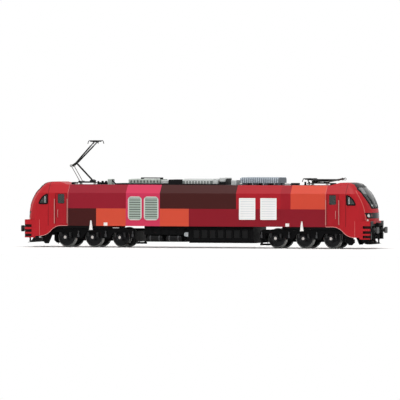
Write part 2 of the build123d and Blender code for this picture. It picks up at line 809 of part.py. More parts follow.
with BuildPart() as fuel_filler:
    with BuildSketch(Plane.YZ.offset(tank_start_x)):
        with Locations((-belly_half + filler_length / 2, level(filler_h)),
                       (belly_half - filler_length / 2, level(filler_h))):
            Rectangle(filler_length, 2 * filler_radius)
    extrude(amount=-filler_radius)
    with BuildSketch(side_plane(0, tank_start_x - filler_radius, level(filler_h))):
        Circle(filler_radius)
    extrude(amount=belly_half, both=True)
    with BuildSketch(side_plane(0, tank_start_x, level(filler_h))):
        Circle(2 * filler_radius)
    extrude(amount=belly_half - filler_length, both=True, mode=Mode.SUBTRACT)
save(fuel_filler.part, "fuel_filler")

# Bogies, drawn about their pivot with the outer end towards +X, where the side frames carry rail guards
frame_inner_y = 11.4
frame_thickness = 2.2
frame_outer_reach = 29.8
frame_inner_reach = 32.0
frame_beam_bottom_h = 9.6
frame_end_h = 10.8
guard_reach = 7.6
guard_neck = 3.4
guard_neck_h = 7.4
guard_top_h = 5.6
guard_front_h = 3.4
guard_foot = 2.0
guard_bottom_h = 1.6
pedestal_bottom_h = 5.4
pedestal_half = 2.5
pedestal_slope = 3.0
gear_case_half = 4.6
gear_case_bottom_h = 3.6
gear_case_end = 5.8
gear_case_corner = 2.0
axle_hole_gap = 0.4
pivot_hole_bottom_h = 8.5
transom_width = 3.6
end_beam_width = 1.6
transom_bottom_h = 8.6
transom_top_h = 10.8
box_radius = 2.3
box_proud = 0.8
wing_half = 4.5
wing_thickness = 1.0
wing_top_h = 6.3
spring_offset = 3.4
spring_radius = 0.7
coil_radius = 1.0
coils = 4
damper_radius = 0.75
damper_rod_radius = 0.4
damper_bottom_h = 6.4
magnet_length = 8.0
magnet_width = 1.8
magnet_bottom_h = 1.2
magnet_top_h = 2.5
magnet_bracket = 1.2
frame_outer_y = frame_inner_y + frame_thickness
guard_tip = frame_outer_reach + guard_reach
gear_case_reach = axle_pitch + gear_case_end
axle_offsets = (-axle_pitch, 0, axle_pitch)
bogie_plane = side_plane(0, bogie_x)


with BuildPart() as bogie_frame:
    with BuildSketch(bogie_plane):
        with BuildLine():
            lower = [(frame_outer_reach, level(frame_beam_bottom_h))]
            for pedestal in (axle_pitch / 2, -axle_pitch / 2):
                lower += [
                    (pedestal + pedestal_half + pedestal_slope, level(frame_beam_bottom_h)),
                    (pedestal + pedestal_half, level(pedestal_bottom_h)),
                    (pedestal - pedestal_half, level(pedestal_bottom_h)),
                    (pedestal - pedestal_half - pedestal_slope, level(frame_beam_bottom_h)),
                ]
            inner_drop = axle_pitch + wing_half + pedestal_slope
            lower += [(-inner_drop, level(frame_beam_bottom_h)), (-inner_drop, level(pedestal_bottom_h))]
            Polyline(
                *lower, (-frame_inner_reach, level(pedestal_bottom_h)),
                (-frame_inner_reach, level(frame_end_h)),
                (pedestal_half - frame_inner_reach, level(bogie_top_h)),
                (frame_outer_reach - pedestal_half, level(bogie_top_h)),
                (frame_outer_reach, level(frame_end_h)),
                (frame_outer_reach + guard_neck, level(guard_neck_h)),
                (guard_tip, level(guard_top_h)), (guard_tip, level(guard_front_h)),
                (guard_tip - guard_foot, level(guard_bottom_h)),
                (guard_tip - 2 * guard_foot, level(guard_bottom_h)), lower[0],
            )
        make_face()
    extrude(amount=frame_outer_y, both=True)
    with BuildSketch(bogie_plane):
        with Locations((0, level(bogie_top_h) / 2)):
            Rectangle(4 * frame_inner_reach, 2 * level(bogie_top_h))
    extrude(amount=frame_inner_y, both=True, mode=Mode.SUBTRACT)
    with BuildSketch(bogie_plane):
        with Locations((0, (level(gear_case_bottom_h) + level(bogie_top_h)) / 2)):
            Rectangle(2 * gear_case_reach, bogie_top_h - gear_case_bottom_h)
        chamfer(vertices().group_by(Axis.Y)[0], gear_case_corner)
        with GridLocations(axle_pitch, 0, 3, 1):
            with Locations((0, axle_z)):
                Circle(axle_radius + axle_hole_gap, mode=Mode.SUBTRACT)
    extrude(amount=gear_case_half, both=True)
    for offset_x, width in (
        (-axle_pitch / 2, transom_width), (axle_pitch / 2, transom_width),
        (frame_outer_reach - end_beam_width / 2, end_beam_width),
        (end_beam_width / 2 - frame_inner_reach, end_beam_width),
    ):
        with BuildSketch(Plane.XY.offset(level(transom_bottom_h))):
            with Locations((bogie_x + offset_x, 0)):
                Rectangle(width, 2 * frame_inner_y)
        extrude(amount=transom_top_h - transom_bottom_h)
    with BuildSketch(Plane.XY.offset(level(pivot_hole_bottom_h))):
        with Locations((bogie_x, 0)):
            Circle(pivot_pin_radius + running_gap)
    extrude(amount=bogie_top_h, mode=Mode.SUBTRACT)
save_both_ends(bogie_frame.part, "bogie_frame")

with BuildPart() as axle_boxes:
    with BuildSketch(bogie_plane.offset(frame_inner_y)):
        with GridLocations(axle_pitch, 0, 3, 1):
            with Locations((0, axle_z)):
                Circle(box_radius)
    extrude(amount=frame_thickness + box_proud)
    with BuildSketch(bogie_plane.offset(frame_inner_y)):
        with GridLocations(axle_pitch, 0, 3, 1):
            with Locations((0, level(wing_top_h) - wing_thickness / 2)):
                Rectangle(2 * wing_half, wing_thickness)
    extrude(amount=frame_thickness)
    with BuildSketch(bogie_plane.offset(frame_inner_y)):
        with GridLocations(axle_pitch, 0, 3, 1):
            with Locations((0, axle_z)):
                Circle(axle_radius + running_gap)
    extrude(amount=frame_thickness + box_proud, mode=Mode.SUBTRACT)
    mirror(about=Plane.XZ)
save_both_ends(axle_boxes.part, "axle_boxes")

spring_y = frame_inner_y + frame_thickness / 2
spring_height = frame_beam_bottom_h - wing_top_h
coil_pitch = spring_height / coils
with BuildPart() as springs:
    spring_places = [
        (bogie_x + offset_x + side * spring_offset, -spring_y)
        for offset_x in axle_offsets for side in both_ends
    ]
    with BuildSketch(Plane.XY.offset(level(wing_top_h))):
        with Locations(*spring_places):
            Circle(spring_radius)
    extrude(amount=spring_height)
    for coil in range(coils):
        with BuildSketch(Plane.XY.offset(level(wing_top_h) + coil_pitch / 4 + coil * coil_pitch)):
            with Locations(*spring_places):
                Circle(coil_radius)
        extrude(amount=coil_pitch / 2)
    mirror(about=Plane.XZ)
save_both_ends(springs.part, "springs")

damper_offsets = (-frame_inner_reach + end_beam_width, axle_pitch / 2, -axle_pitch / 2)
damper_middle_h = (damper_bottom_h + frame_end_h) / 2
with BuildPart() as dampers:
    damper_places = [(bogie_x + offset_x, -frame_outer_y - damper_radius) for offset_x in damper_offsets]
    with BuildSketch(Plane.XY.offset(level(damper_bottom_h))):
        with Locations(*damper_places):
            Circle(damper_radius)
    extrude(amount=damper_middle_h - damper_bottom_h)
    with BuildSketch(Plane.XY.offset(level(damper_bottom_h))):
        with Locations(*damper_places):
            Circle(damper_rod_radius)
    extrude(amount=frame_end_h - damper_bottom_h)
    for lug_h in (damper_bottom_h + damper_radius, frame_end_h - damper_radius):
        with BuildSketch(bogie_plane.offset(frame_outer_y)):
            with Locations(*[(offset_x, level(lug_h)) for offset_x in damper_offsets]):
                Rectangle(damper_radius, damper_radius)
        extrude(amount=damper_radius)
    mirror(about=Plane.XZ)
save_both_ends(dampers.part, "dampers")

with BuildPart() as magnets:
    magnet_x = -frame_inner_reach + magnet_length / 2
    with BuildSketch(Plane.XY.offset(level(magnet_bottom_h))):
        with Locations((bogie_x + magnet_x, -frame_inner_y - frame_thickness / 2)):
            RectangleRounded(magnet_length, magnet_width, magnet_width / 3)
    extrude(amount=magnet_top_h - magnet_bottom_h)
    with BuildSketch(Plane.XY.offset(level(magnet_top_h))):
        with Locations((bogie_x - frame_inner_reach + magnet_bracket, -frame_inner_y - frame_thickness / 2)):
            Rectangle(magnet_bracket, magnet_bracket)
    extrude(amount=pedestal_bottom_h - magnet_top_h)
    mirror(about=Plane.XZ)
save_both_ends(magnets.part, "magnets")

# Wheelsets: two flanged wheels pressed on an axle, one turned profile
flange_radius = tread_radius + flange_depth
wheel_inner_y = wheel_back_to_back / 2
wheel_outer_y = wheel_inner_y + tyre_width
web_y = wheel_outer_y - web_recess
wheel_profile = [
    (wheel_inner_y, axle_radius), (wheel_inner_y, flange_radius),
    (wheel_inner_y + flange_width / 2, flange_radius), (wheel_inner_y + flange_width, tread_radius),
    (wheel_outer_y, tread_radius), (wheel_outer_y, tread_radius - rim_depth),
    (web_y, tread_radius - rim_depth), (web_y, hub_radius), (wheel_outer_y, hub_radius),
    (wheel_outer_y, axle_radius), (axle_length / 2, axle_radius), (axle_length / 2, 0),
]
number = 0
for end in both_ends:
    for offset_x in axle_offsets:
        number += 1
        wheel_plane = Plane(origin=(end * bogie_x + offset_x, 0, axle_z), x_dir=(0, 1, 0), z_dir=(1, 0, 0))
        with BuildPart() as wheelset:
            with BuildSketch(wheel_plane):
                with BuildLine():
                    Polyline(*[(-y, radius) for y, radius in reversed(wheel_profile)], *wheel_profile,
                             close=True)
                make_face()
            revolve(axis=Axis(wheel_plane.origin, (0, 1, 0)))
        save(wheelset.part, f"wheelset_{number}")

# Roof gear: ribbed hoods and boxes that stand on the flat roof
# Each row: label, start and end as shares of half the machine room, half width, foot and top above
# the roof, corner radius, rib pitch.
roof_rows = (
    ("contactor_box", -0.735, -0.704, 3.2, 0.0, 3.8, 0.5, 0),
    ("transformer_hood", -0.551, -0.310, 9.0, 0.0, 3.8, 0.6, 0),
    ("filter_box", -0.240, -0.130, 9.0, 0.0, 3.7, 0.4, 0),
    ("ribbed_hood", -0.129, 0.104, 9.4, 0.0, 4.0, 0.6, 2.2),
    ("exhaust_box", 0.146, 0.198, 7.0, 0.0, 4.4, 2.6, 0),
    ("vent_box", 0.232, 0.272, 4.6, 0.0, 3.4, 0.5, 0),
    ("cooler_hood", 0.318, 0.613, 9.6, 1.4, 5.1, 1.4, 2.8),
)
roof_rib = 0.3
cooler_leg_length = 3.0
cooler_leg_pitch = 8.0
cooler_legs = 4
for label, start_share, end_share, half_width, foot_rise, top_rise, radius, pitch in roof_rows:
    start_x = start_share * cab_back_x
    end_x = end_share * cab_back_x
    foot_h = roof_h + foot_rise
    top_h = roof_h + top_rise
    middle_x = (start_x + end_x) / 2
    with BuildPart() as roof_piece:
        with BuildSketch(Plane.YZ.offset(start_x)):
            with Locations((0, (level(foot_h) + level(top_h)) / 2)):
                Rectangle(2 * half_width, top_h - foot_h)
            fillet(vertices().group_by(Axis.Y)[-1], radius)
        extrude(amount=end_x - start_x)
        if pitch:
            ribs = int((end_x - start_x) / pitch) - 1
            for hand in both_ends:
                with BuildSketch(Plane.XY.offset(level(foot_h))):
                    with Locations((middle_x, hand * half_width)):
                        with GridLocations(pitch, 0, ribs, 1):
                            Rectangle(pitch / 2, 2 * roof_rib)
                extrude(amount=top_h - foot_h - 2 * radius)
        if foot_h > roof_h:
            with BuildSketch(Plane.XY.offset(roof_z)):
                with Locations((middle_x, 0)):
                    with GridLocations(cooler_leg_pitch, half_width, cooler_legs, 2):
                        Rectangle(cooler_leg_length, half_width / 2)
            extrude(amount=foot_h - roof_h)
    save(roof_piece.part, label)

# Walkway plates along the roof edges and low conduits beside the pantographs
walkway_shares = (-0.621, 0.209)
walkway_inner_y = 9.9
walkway_outer_y = 11.6
walkway_thickness = 0.8
walkway_start_x, walkway_end_x = [share * cab_back_x for share in walkway_shares]
with BuildPart() as walkways:
    for hand in both_ends:
        with BuildSketch(Plane.XY.offset(roof_z)):
            with Locations(((walkway_start_x + walkway_end_x) / 2,
                            hand * (walkway_inner_y + walkway_outer_y) / 2)):
                Rectangle(walkway_end_x - walkway_start_x, walkway_outer_y - walkway_inner_y)
        extrude(amount=walkway_thickness)
save(walkways.part, "walkways")

# Roof line: a bar on ribbed posts, along the middle of the roof
post_radius = 1.15
post_inset = 1.75
line_radius = 0.35
line_above_post = 0.9
line_shares = (-0.473, -0.306)
post_rise = 3.8
post_base_h = roof_h + post_rise
line_h = post_base_h + line_above_post
line_start_x, line_end_x = [share * cab_back_x for share in line_shares]
with BuildPart() as roof_line:
    with BuildSketch(Plane.XY.offset(level(post_base_h))):
        with Locations((line_start_x, 0), (line_end_x - post_inset, 0)):
            Circle(post_radius)
    extrude(amount=line_h - post_base_h + line_radius)
    with BuildSketch(Plane.YZ.offset(line_start_x)):
        with Locations((0, level(line_h))):
            Circle(line_radius)
    extrude(amount=line_end_x - line_start_x - post_radius)
save(roof_line.part, "roof_line")

bump_shares = ((-0.799, -0.745), (0.685, 0.740))
bump_half = 3.0
bump_rise = 1.5
bump_corner_radius = 1.0
with BuildPart() as roof_arresters:
    for start_x, end_x in [(start * cab_back_x, end * cab_back_x) for start, end in bump_shares]:
        with BuildSketch(Plane.XY.offset(roof_z)):
            with Locations(((start_x + end_x) / 2, 0)):
                RectangleRounded(end_x - start_x, 2 * bump_half, bump_corner_radius)
        extrude(amount=bump_rise)
save(roof_arresters.part, "roof_arresters")

# Pantographs, drawn for the +X end with the knee towards the cab
pivot_from_bogie = 4.3
pivot_rise = 2.6
lower_length = 17.5
upper_length = 20.9
tail_length = 3.75
tail_bend = 13.3
rod_base_from_pivot = 8.7
rod_base_drop = 0.55
raised_lower = 45.5
raised_upper = 46.2
raised_rod = 59.5
folded_lower = 4.0
folded_upper = 0.0
folded_rod = 10.5
rod_length = 12.92
shaft_radius = 0.45
shaft_half = 4.15
lower_hub_radius = 0.95
lower_hub_half = 2.5
lower_tube_radius = 0.6
knee_pin_radius = 0.35
knee_hub_radius = 0.75
knee_hub_half = 1.1
knee_y = 1.75
head_y = 3.6
upper_tube_radius = 0.38
tail_pin_radius = 0.2
tail_pin_half = 3.5
head_pin_radius = 0.35
head_pin_half = 5.0
rod_y = 3.0
rod_radius = 0.25
rod_eye_radius = 0.95
rod_eye_hole = 0.65
rod_eye_half = 0.32
rod_hub_radius = 0.45
rod_pin_radius = 0.2
strip_spacing = 4.2
strip_half = 8.0
strip_width = 0.9
strip_thickness = 0.6
strip_above = 0.5
horn_reach = 3.2
horn_drop = 2.2
horn_radius = 0.28
cross_bar_y = 4.5
cross_bar_width = 0.5
base_rise = 1.1
base_thickness = 0.5
base_rail_y = 4.8
base_rail_width = 0.9
base_before_pivot = 4.2
base_length = 16.0
bracket_thickness = 0.7
insulator_radius = 0.8
insulator_shed_radius = 1.15
insulator_sheds = 2
pivot_x = bogie_x + pivot_from_bogie
pivot_h = roof_h + pivot_rise
rod_base_x = pivot_x + rod_base_from_pivot
rod_base_h = pivot_h - rod_base_drop
base_bottom_h = roof_h + base_rise
base_top_h = base_bottom_h + base_thickness
base_start_x = pivot_x - base_before_pivot
base_end_x = base_start_x + base_length


def pantograph_points(lower, upper, rod):
    """Pivot points of a pantograph at +X, as (X, Z), for its arm and rod angles in degrees."""
    pivot = Vector(pivot_x, level(pivot_h))
    knee = pivot + Vector(cos(radians(lower)), sin(radians(lower))) * lower_length
    top = knee + Vector(-cos(radians(upper)), sin(radians(upper))) * upper_length
    tail_angle = radians(tail_bend - upper)
    tail = knee + Vector(cos(tail_angle), sin(tail_angle)) * tail_length
    rod_base = Vector(rod_base_x, level(rod_base_h))
    rod_tip = rod_base + Vector(cos(radians(rod)), sin(radians(rod))) * rod_length
    return pivot, knee, top, tail, rod_base, rod_tip


with BuildPart() as insulators:
    posts = [(x, y) for x in (base_start_x + insulator_shed_radius, base_end_x - insulator_shed_radius)
             for y in (-base_rail_y, base_rail_y)]
    shed_pitch = (base_bottom_h - roof_h) / insulator_sheds
    with BuildSketch(Plane.XY.offset(roof_z)):
        with Locations(*posts):
            Circle(insulator_radius)
    extrude(amount=base_bottom_h - roof_h)
    for shed in range(insulator_sheds):
        with BuildSketch(Plane.XY.offset(roof_z + shed_pitch / 4 + shed * shed_pitch)):
            with Locations(*posts):
                Circle(insulator_shed_radius)
        extrude(amount=shed_pitch / 2)
    mirror(about=Plane.YZ)
save(insulators.part, "insulators")

raised = pantograph_points(raised_lower, raised_upper, raised_rod)
folded = pantograph_points(folded_lower, folded_upper, folded_rod)

for number in (1, 2):
    pivot, knee, top, tail, rod_base, rod_tip = raised if number == 1 else folded

    with BuildPart() as base:
        with BuildSketch(Plane.XY.offset(level(base_bottom_h))):
            with Locations(((base_start_x + base_end_x) / 2, 0)):
                with GridLocations(0, 2 * base_rail_y, 1, 2):
                    Rectangle(base_end_x - base_start_x, base_rail_width)
                with GridLocations(base_end_x - base_start_x - base_rail_width, 0, 2, 1):
                    Rectangle(base_rail_width, 2 * base_rail_y)
        extrude(amount=base_top_h - base_bottom_h)
        for x, height in ((pivot_x, pivot_h), (rod_base_x, rod_base_h)):
            bracket_y = shaft_half - bracket_thickness / 2
            with BuildSketch(Plane.XY.offset(level(base_bottom_h))):
                with Locations((x, 0)):
                    with GridLocations(0, 2 * bracket_y, 1, 2):
                        Rectangle(2 * bracket_thickness, bracket_thickness)
                    with GridLocations(0, base_rail_y + bracket_y, 1, 2):
                        Rectangle(2 * bracket_thickness, base_rail_y - bracket_y)
            extrude(amount=height - base_bottom_h + shaft_radius)
        pivot_cylinder(pivot_x, level(pivot_h), shaft_radius, shaft_half)
        pivot_cylinder(rod_base_x, level(rod_base_h), rod_pin_radius, shaft_half)
    save(at_end(base.part, number), f"pantograph_base_{number}")

    with BuildPart() as lower_arm:
        tube((pivot.X, 0, pivot.Y), (knee.X, 0, knee.Y), lower_tube_radius)
        pivot_cylinder(pivot.X, pivot.Y, lower_hub_radius, lower_hub_half)
        pivot_cylinder(knee.X, knee.Y, knee_hub_radius, knee_hub_half)
        pivot_cylinder(pivot.X, pivot.Y, shaft_radius + running_gap, lower_hub_half, Mode.SUBTRACT)
        pivot_cylinder(knee.X, knee.Y, knee_pin_radius + running_gap, lower_hub_half, Mode.SUBTRACT)
    save(at_end(lower_arm.part, number), f"lower_arm_{number}")

    with BuildPart() as upper_arm:
        for hand in both_ends:
            tube((knee.X, hand * knee_y, knee.Y), (top.X, hand * head_y, top.Y), upper_tube_radius)
            tube((knee.X, hand * knee_y, knee.Y), (tail.X, hand * knee_y, tail.Y), upper_tube_radius)
        pivot_cylinder(knee.X, knee.Y, knee_pin_radius, knee_y)
        pivot_cylinder(tail.X, tail.Y, tail_pin_radius, tail_pin_half)
        pivot_cylinder(top.X, top.Y, head_pin_radius, head_pin_half)
    save(at_end(upper_arm.part, number), f"upper_arm_{number}")

    with BuildPart() as head:
        for hand in both_ends:
            with BuildSketch(side_plane(hand * cross_bar_y, top.X, top.Y)):
                Circle(2 * head_pin_radius)
                Rectangle(strip_spacing + strip_width, strip_above + strip_thickness / 2,
                          align=(Align.CENTER, Align.MIN))
                Circle(head_pin_radius + running_gap, mode=Mode.SUBTRACT)
            extrude(amount=cross_bar_width / 2, both=True)
            strip_x = top.X + hand * strip_spacing / 2
            with BuildSketch(Plane.XY.offset(top.Y + strip_above)):
                with Locations((strip_x, 0)):
                    Rectangle(strip_width, 2 * strip_half)
            extrude(amount=strip_thickness)
            for end in both_ends:
                strip_z = top.Y + strip_above + strip_thickness / 2
                tip = (strip_x, end * (strip_half + horn_reach), strip_z - horn_drop)
                bent_tube((strip_x, end * strip_half, strip_z), (0, end, 0), tip, horn_radius)
    save(at_end(head.part, number), f"pantograph_head_{number}")

    with BuildPart() as thrust_rod:
        eye_share = (rod_eye_radius + rod_eye_hole) / 2 / rod_length
        rod_end = rod_tip + (rod_base - rod_tip) * eye_share
        for hand in both_ends:
            tube((rod_base.X, hand * rod_y, rod_base.Y), (rod_end.X, hand * rod_y, rod_end.Y), rod_radius)
            with BuildSketch(side_plane(hand * rod_y, rod_tip.X, rod_tip.Y)):
                Circle(rod_eye_radius)
            extrude(amount=rod_eye_half, both=True)
        pivot_cylinder(rod_base.X, rod_base.Y, rod_hub_radius, rod_y + rod_eye_half)
        pivot_cylinder(rod_base.X, rod_base.Y, rod_pin_radius + running_gap, shaft_half, Mode.SUBTRACT)
        pivot_cylinder(rod_tip.X, rod_tip.Y, rod_eye_hole, shaft_half, Mode.SUBTRACT)
    save(at_end(thrust_rod.part, number), f"thrust_rod_{number}")
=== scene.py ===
import math

import bpy
import numpy as np
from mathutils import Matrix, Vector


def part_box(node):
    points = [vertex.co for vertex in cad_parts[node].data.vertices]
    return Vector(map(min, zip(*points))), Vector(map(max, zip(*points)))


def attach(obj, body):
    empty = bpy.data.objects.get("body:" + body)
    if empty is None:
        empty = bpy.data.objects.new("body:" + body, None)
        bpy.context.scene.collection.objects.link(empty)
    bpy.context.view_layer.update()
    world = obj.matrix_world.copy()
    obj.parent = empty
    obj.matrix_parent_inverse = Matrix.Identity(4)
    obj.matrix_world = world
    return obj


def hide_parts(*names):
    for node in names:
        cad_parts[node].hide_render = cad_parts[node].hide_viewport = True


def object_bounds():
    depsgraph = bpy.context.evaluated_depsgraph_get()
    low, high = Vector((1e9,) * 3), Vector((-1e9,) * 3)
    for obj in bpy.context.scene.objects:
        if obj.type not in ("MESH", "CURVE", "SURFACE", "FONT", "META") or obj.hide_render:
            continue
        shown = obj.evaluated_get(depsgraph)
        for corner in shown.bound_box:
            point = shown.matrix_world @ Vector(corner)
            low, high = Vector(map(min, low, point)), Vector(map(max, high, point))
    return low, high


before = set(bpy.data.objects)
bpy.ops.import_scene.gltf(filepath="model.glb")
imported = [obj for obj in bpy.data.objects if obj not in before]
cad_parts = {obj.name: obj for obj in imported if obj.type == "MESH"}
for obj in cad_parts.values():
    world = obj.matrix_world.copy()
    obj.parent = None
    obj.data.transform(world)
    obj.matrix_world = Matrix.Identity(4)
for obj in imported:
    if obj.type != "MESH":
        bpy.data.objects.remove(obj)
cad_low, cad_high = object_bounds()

# Chassis and motor: a zinc casting with ballast blocks, buffer beams and pivot pins, painted
# black before assembly. The motor is a pressed steel can with a plain dull finish.
MM = 0.001
CLOUDS_TO_A_MM = 0.15
GRAINS_TO_A_MM = 6.0


class Shade:
    """A socket in a material. Arithmetic on it adds Math nodes, and node() adds any other node."""

    def __init__(self, tree, socket):
        self.tree = tree
        self.socket = socket

    def node(self, kind, settings, sockets, outlet=0):
        """Add a node: first its settings, then the value or the link of each socket."""
        made = self.tree.nodes.new(kind)
        for name, value in settings.items():
            setattr(made, name, value)
        for name, value in sockets.items():
            if isinstance(value, Shade):
                self.tree.links.new(value.socket, made.inputs[name])
            else:
                made.inputs[name].default_value = value
        return Shade(self.tree, made.outputs[outlet])

    def math(self, operation, *values):
        """Add a Math node that works on these values."""
        return self.node("ShaderNodeMath", {"operation": operation}, dict(enumerate(values)))

    def __add__(self, other):
        return self.math("ADD", self, other)

    def __sub__(self, other):
        return self.math("SUBTRACT", self, other)

    def __rsub__(self, other):
        return self.math("SUBTRACT", other, self)

    def __mul__(self, other):
        return self.math("MULTIPLY", self, other)

    def __or__(self, other):
        """1 where either mask is 1, else 0."""
        return self.math("MAXIMUM", self, other)

    def __abs__(self):
        return self.math("ABSOLUTE", self)

    __radd__ = __add__
    __rmul__ = __mul__

    def root(self):
        """Square root of the value."""
        return self.math("SQRT", self)

    def wave(self):
        """Sine of the value in radians."""
        return self.math("SINE", self)

    def least(self, limit):
        """The value, or the limit where that is less."""
        return self.math("MINIMUM", self, limit)

    def most(self, limit):
        """The value, or the limit where that is more."""
        return self.math("MAXIMUM", self, limit)

    def above(self, limit):
        """1 where the value is more than a limit in millimetres, else 0."""
        return self.math("GREATER_THAN", self, limit * MM)

    def below(self, limit):
        """1 where the value is less than a limit in millimetres, else 0."""
        return self.math("LESS_THAN", self, limit * MM)

    def within(self, low, high):
        """1 where the value lies between two limits in millimetres, else 0."""
        return self.above(low) * self.below(high)

    def axes(self):
        """X, Y and height of a place."""
        return [self.node("ShaderNodeSeparateXYZ", {}, {"Vector": self}, axis) for axis in range(3)]

    def paint(self, under, over):
        """Colour over where this mask is 1, colour under where it is 0. A Mix node's sockets 6 and 7
        and its outlet 2 are the ones for colours."""
        return self.node("ShaderNodeMix", {"data_type": "RGBA"}, {0: self, 6: under, 7: over}, 2)

    def grain(self, grains, detail=2.0):
        """Noise at this place, with that many grains to a millimetre."""
        return self.node("ShaderNodeTexNoise", {},
                         {"Vector": self, "Scale": grains / MM, "Detail": detail})

    def raised(self, depth):
        """Normal of a surface that this height lifts by that depth in millimetres."""
        return self.node("ShaderNodeBump", {}, {"Height": self, "Distance": depth * MM})


def tone(code):
    """Linear colour of a six-digit sRGB colour code: each part, lifted a little, to the power 2.4, and
    in proportion near black."""
    parts = np.array([int(code[at:at + 2], 16) for at in (0, 2, 4)]) / 255
    linear = np.where(parts > 0.04045, ((parts + 0.055) / 1.055) ** 2.4, parts / 12.92)
    return (*linear.tolist(), 1.0)


def new_finish(name, **fixed):
    """A material with its fixed shader values, and the place of a point on it."""
    material = bpy.data.materials.new(name)
    material.use_nodes = True
    tree = material.node_tree
    shader = tree.nodes["Principled BSDF"]
    for socket, value in fixed.items():
        shader.inputs[socket.replace("_", " ")].default_value = value
    return material, Shade(tree, tree.nodes.new("ShaderNodeTexCoord").outputs["Object"])


def wire(material, **sockets):
    """Link what changes over a surface to the material's shader."""
    tree = material.node_tree
    for socket, shade in sockets.items():
        tree.links.new(shade.socket, tree.nodes["Principled BSDF"].inputs[socket.replace("_", " ")])
    return material


def dress(material, *nodes):
    """Give a material to every slot of the named CAD nodes."""
    for node in nodes:
        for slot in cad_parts[node].material_slots:
            slot.material = material


def moulded(name, dark, light, rough, depth=0.03, gloss=0.3, **fixed):
    """Moulded or sprayed finish: two close tones, a roughness range and a fine raised grain."""
    material, place = new_finish(name, Specular_IOR_Level=gloss, **fixed)
    fine = place.grain(GRAINS_TO_A_MM)
    smoothest, roughest = rough
    wire(material,
         Base_Color=place.grain(CLOUDS_TO_A_MM, 3.0).paint(tone(dark), tone(light)),
         Roughness=smoothest + (roughest - smoothest) * fine,
         Normal=fine.raised(depth))
    return material


cast_black = moulded("cast_black", "0d0d0e", "161617", (0.5, 0.72), depth=0.05, gloss=0.08)
dress(cast_black, "chassis_frame")
motor_can = moulded("motor_can", "6b6b6d", "86868a", (0.35, 0.5), depth=0.02, gloss=0.5, Metallic=0.9)
dress(motor_can, "motor")

# Wheelsets: steel wheels turned in one setting and pressed on a steel axle, chemically blackened.
# The tread and flange are bare where they run on the rail, and the axle ends stay bright.
WHEELSETS = 6
FLANGE_HEIGHT = 1.0
TREAD_EDGE = 0.1
AXLE_END_RADIUS = 1.35
RING_TURN = 9.0


def span(node):
    """Lowest and highest corner of a CAD node, in millimetres."""
    low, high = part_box(node)
    return np.array(low) / MM, np.array(high) / MM


def middle(node):
    """Middle of a CAD node's box, in millimetres."""
    low, high = span(node)
    return (low + high) / 2


def turned_steel(name, axle):
    """Blackened steel with turning rings, the sine of the distance from the axle. It is bare at the
    axle's end and from the tread outwards; the flange reaches down to the floor."""
    material, place = new_finish(name, Metallic=0.7)
    x, y, z = place.axes()
    across, up = x - axle[0] * MM, z - axle[2] * MM
    radius = (across * across + up * up).root()
    rings = (radius * (RING_TURN / MM)).wave()
    fine = place.grain(3.0)
    tread = radius.above(axle[2] - FLANGE_HEIGHT - TREAD_EDGE)
    axle_end = radius.below(AXLE_END_RADIUS)
    colour = tread.paint(fine.paint(tone("131315"), tone("1e1e20")), tone("8a8a88"))
    wire(material,
         Base_Color=axle_end.paint(colour, tone("cbc6c2")),
         Roughness=0.42 + 0.16 * fine - 0.08 * (axle_end | tread),
         Normal=(rings * 0.25 + fine * 0.3).raised(0.02))
    return material


axles = [middle(f"wheelset_{number}") for number in range(1, WHEELSETS + 1)]
for number, axle in enumerate(axles, 1):
    dress(turned_steel(f"turned_steel_{number}", axle), f"wheelset_{number}")

# Bogies: frames, axle boxes and dampers moulded in black plastic and pushed together. Box lids
# and damper tubes are a shade lighter. Each axle box stands under two wound steel springs.
SIDES = (-1, 1)
SPRING_OFFSET = 3.4
SPRING_Y = 12.5
COIL_RADIUS = 0.78
WIRE_RADIUS = 0.22
CORE_RADIUS = 0.43
COIL_TURNS = 5
STEPS_TO_A_TURN = 16
SHARP_EDGE = math.radians(35)
bogie_black = moulded("bogie_black", "070708", "0f0f10", (0.45, 0.68), depth=0.05, gloss=0.05)
lid_grey = moulded("lid_grey", "131315", "1f1f21", (0.4, 0.6), depth=0.04, gloss=0.08)
damper_grey = moulded("damper_grey", "2c2c2e", "424244", (0.35, 0.5))
spring_black = moulded("spring_black", "151516", "242426", (0.3, 0.45), depth=0.02, gloss=0.5)


def ring_faces(rows, sides):
    """Four-sided faces between rows of points that close into rings, and a flat face at each end."""
    at = np.arange(rows * sides).reshape(rows, sides)
    beside = np.roll(at, -1, axis=1)
    walls = np.stack([at[:-1], beside[:-1], beside[1:], at[1:]], -1).reshape(-1, 4)
    return [*walls.tolist(), at[0, ::-1].tolist(), at[-1].tolist()]


def tube_along(path, radius, sides=10):
    """Round bar along a path: each path point plus radius times cosine of one cross direction and
    sine of the other, both square to the path; two flat faces close the ends."""
    path = np.asarray(path, float)
    along = np.gradient(path, axis=0)
    along /= np.linalg.norm(along, axis=1, keepdims=True)
    guide = np.linalg.svd(path - path.mean(0))[2][2]
    over = np.cross(along, guide - (along @ guide)[:, None] * along)
    over /= np.linalg.norm(over, axis=1, keepdims=True)
    side = np.cross(over, along)
    turn = np.linspace(0, 2 * np.pi, sides, endpoint=False)[None, :, None]
    reach = np.broadcast_to(radius, len(path))[:, None, None]
    points = path[:, None] + reach * (np.cos(turn) * side[:, None] + np.sin(turn) * over[:, None])
    return points.reshape(-1, 3), ring_faces(len(path), sides)


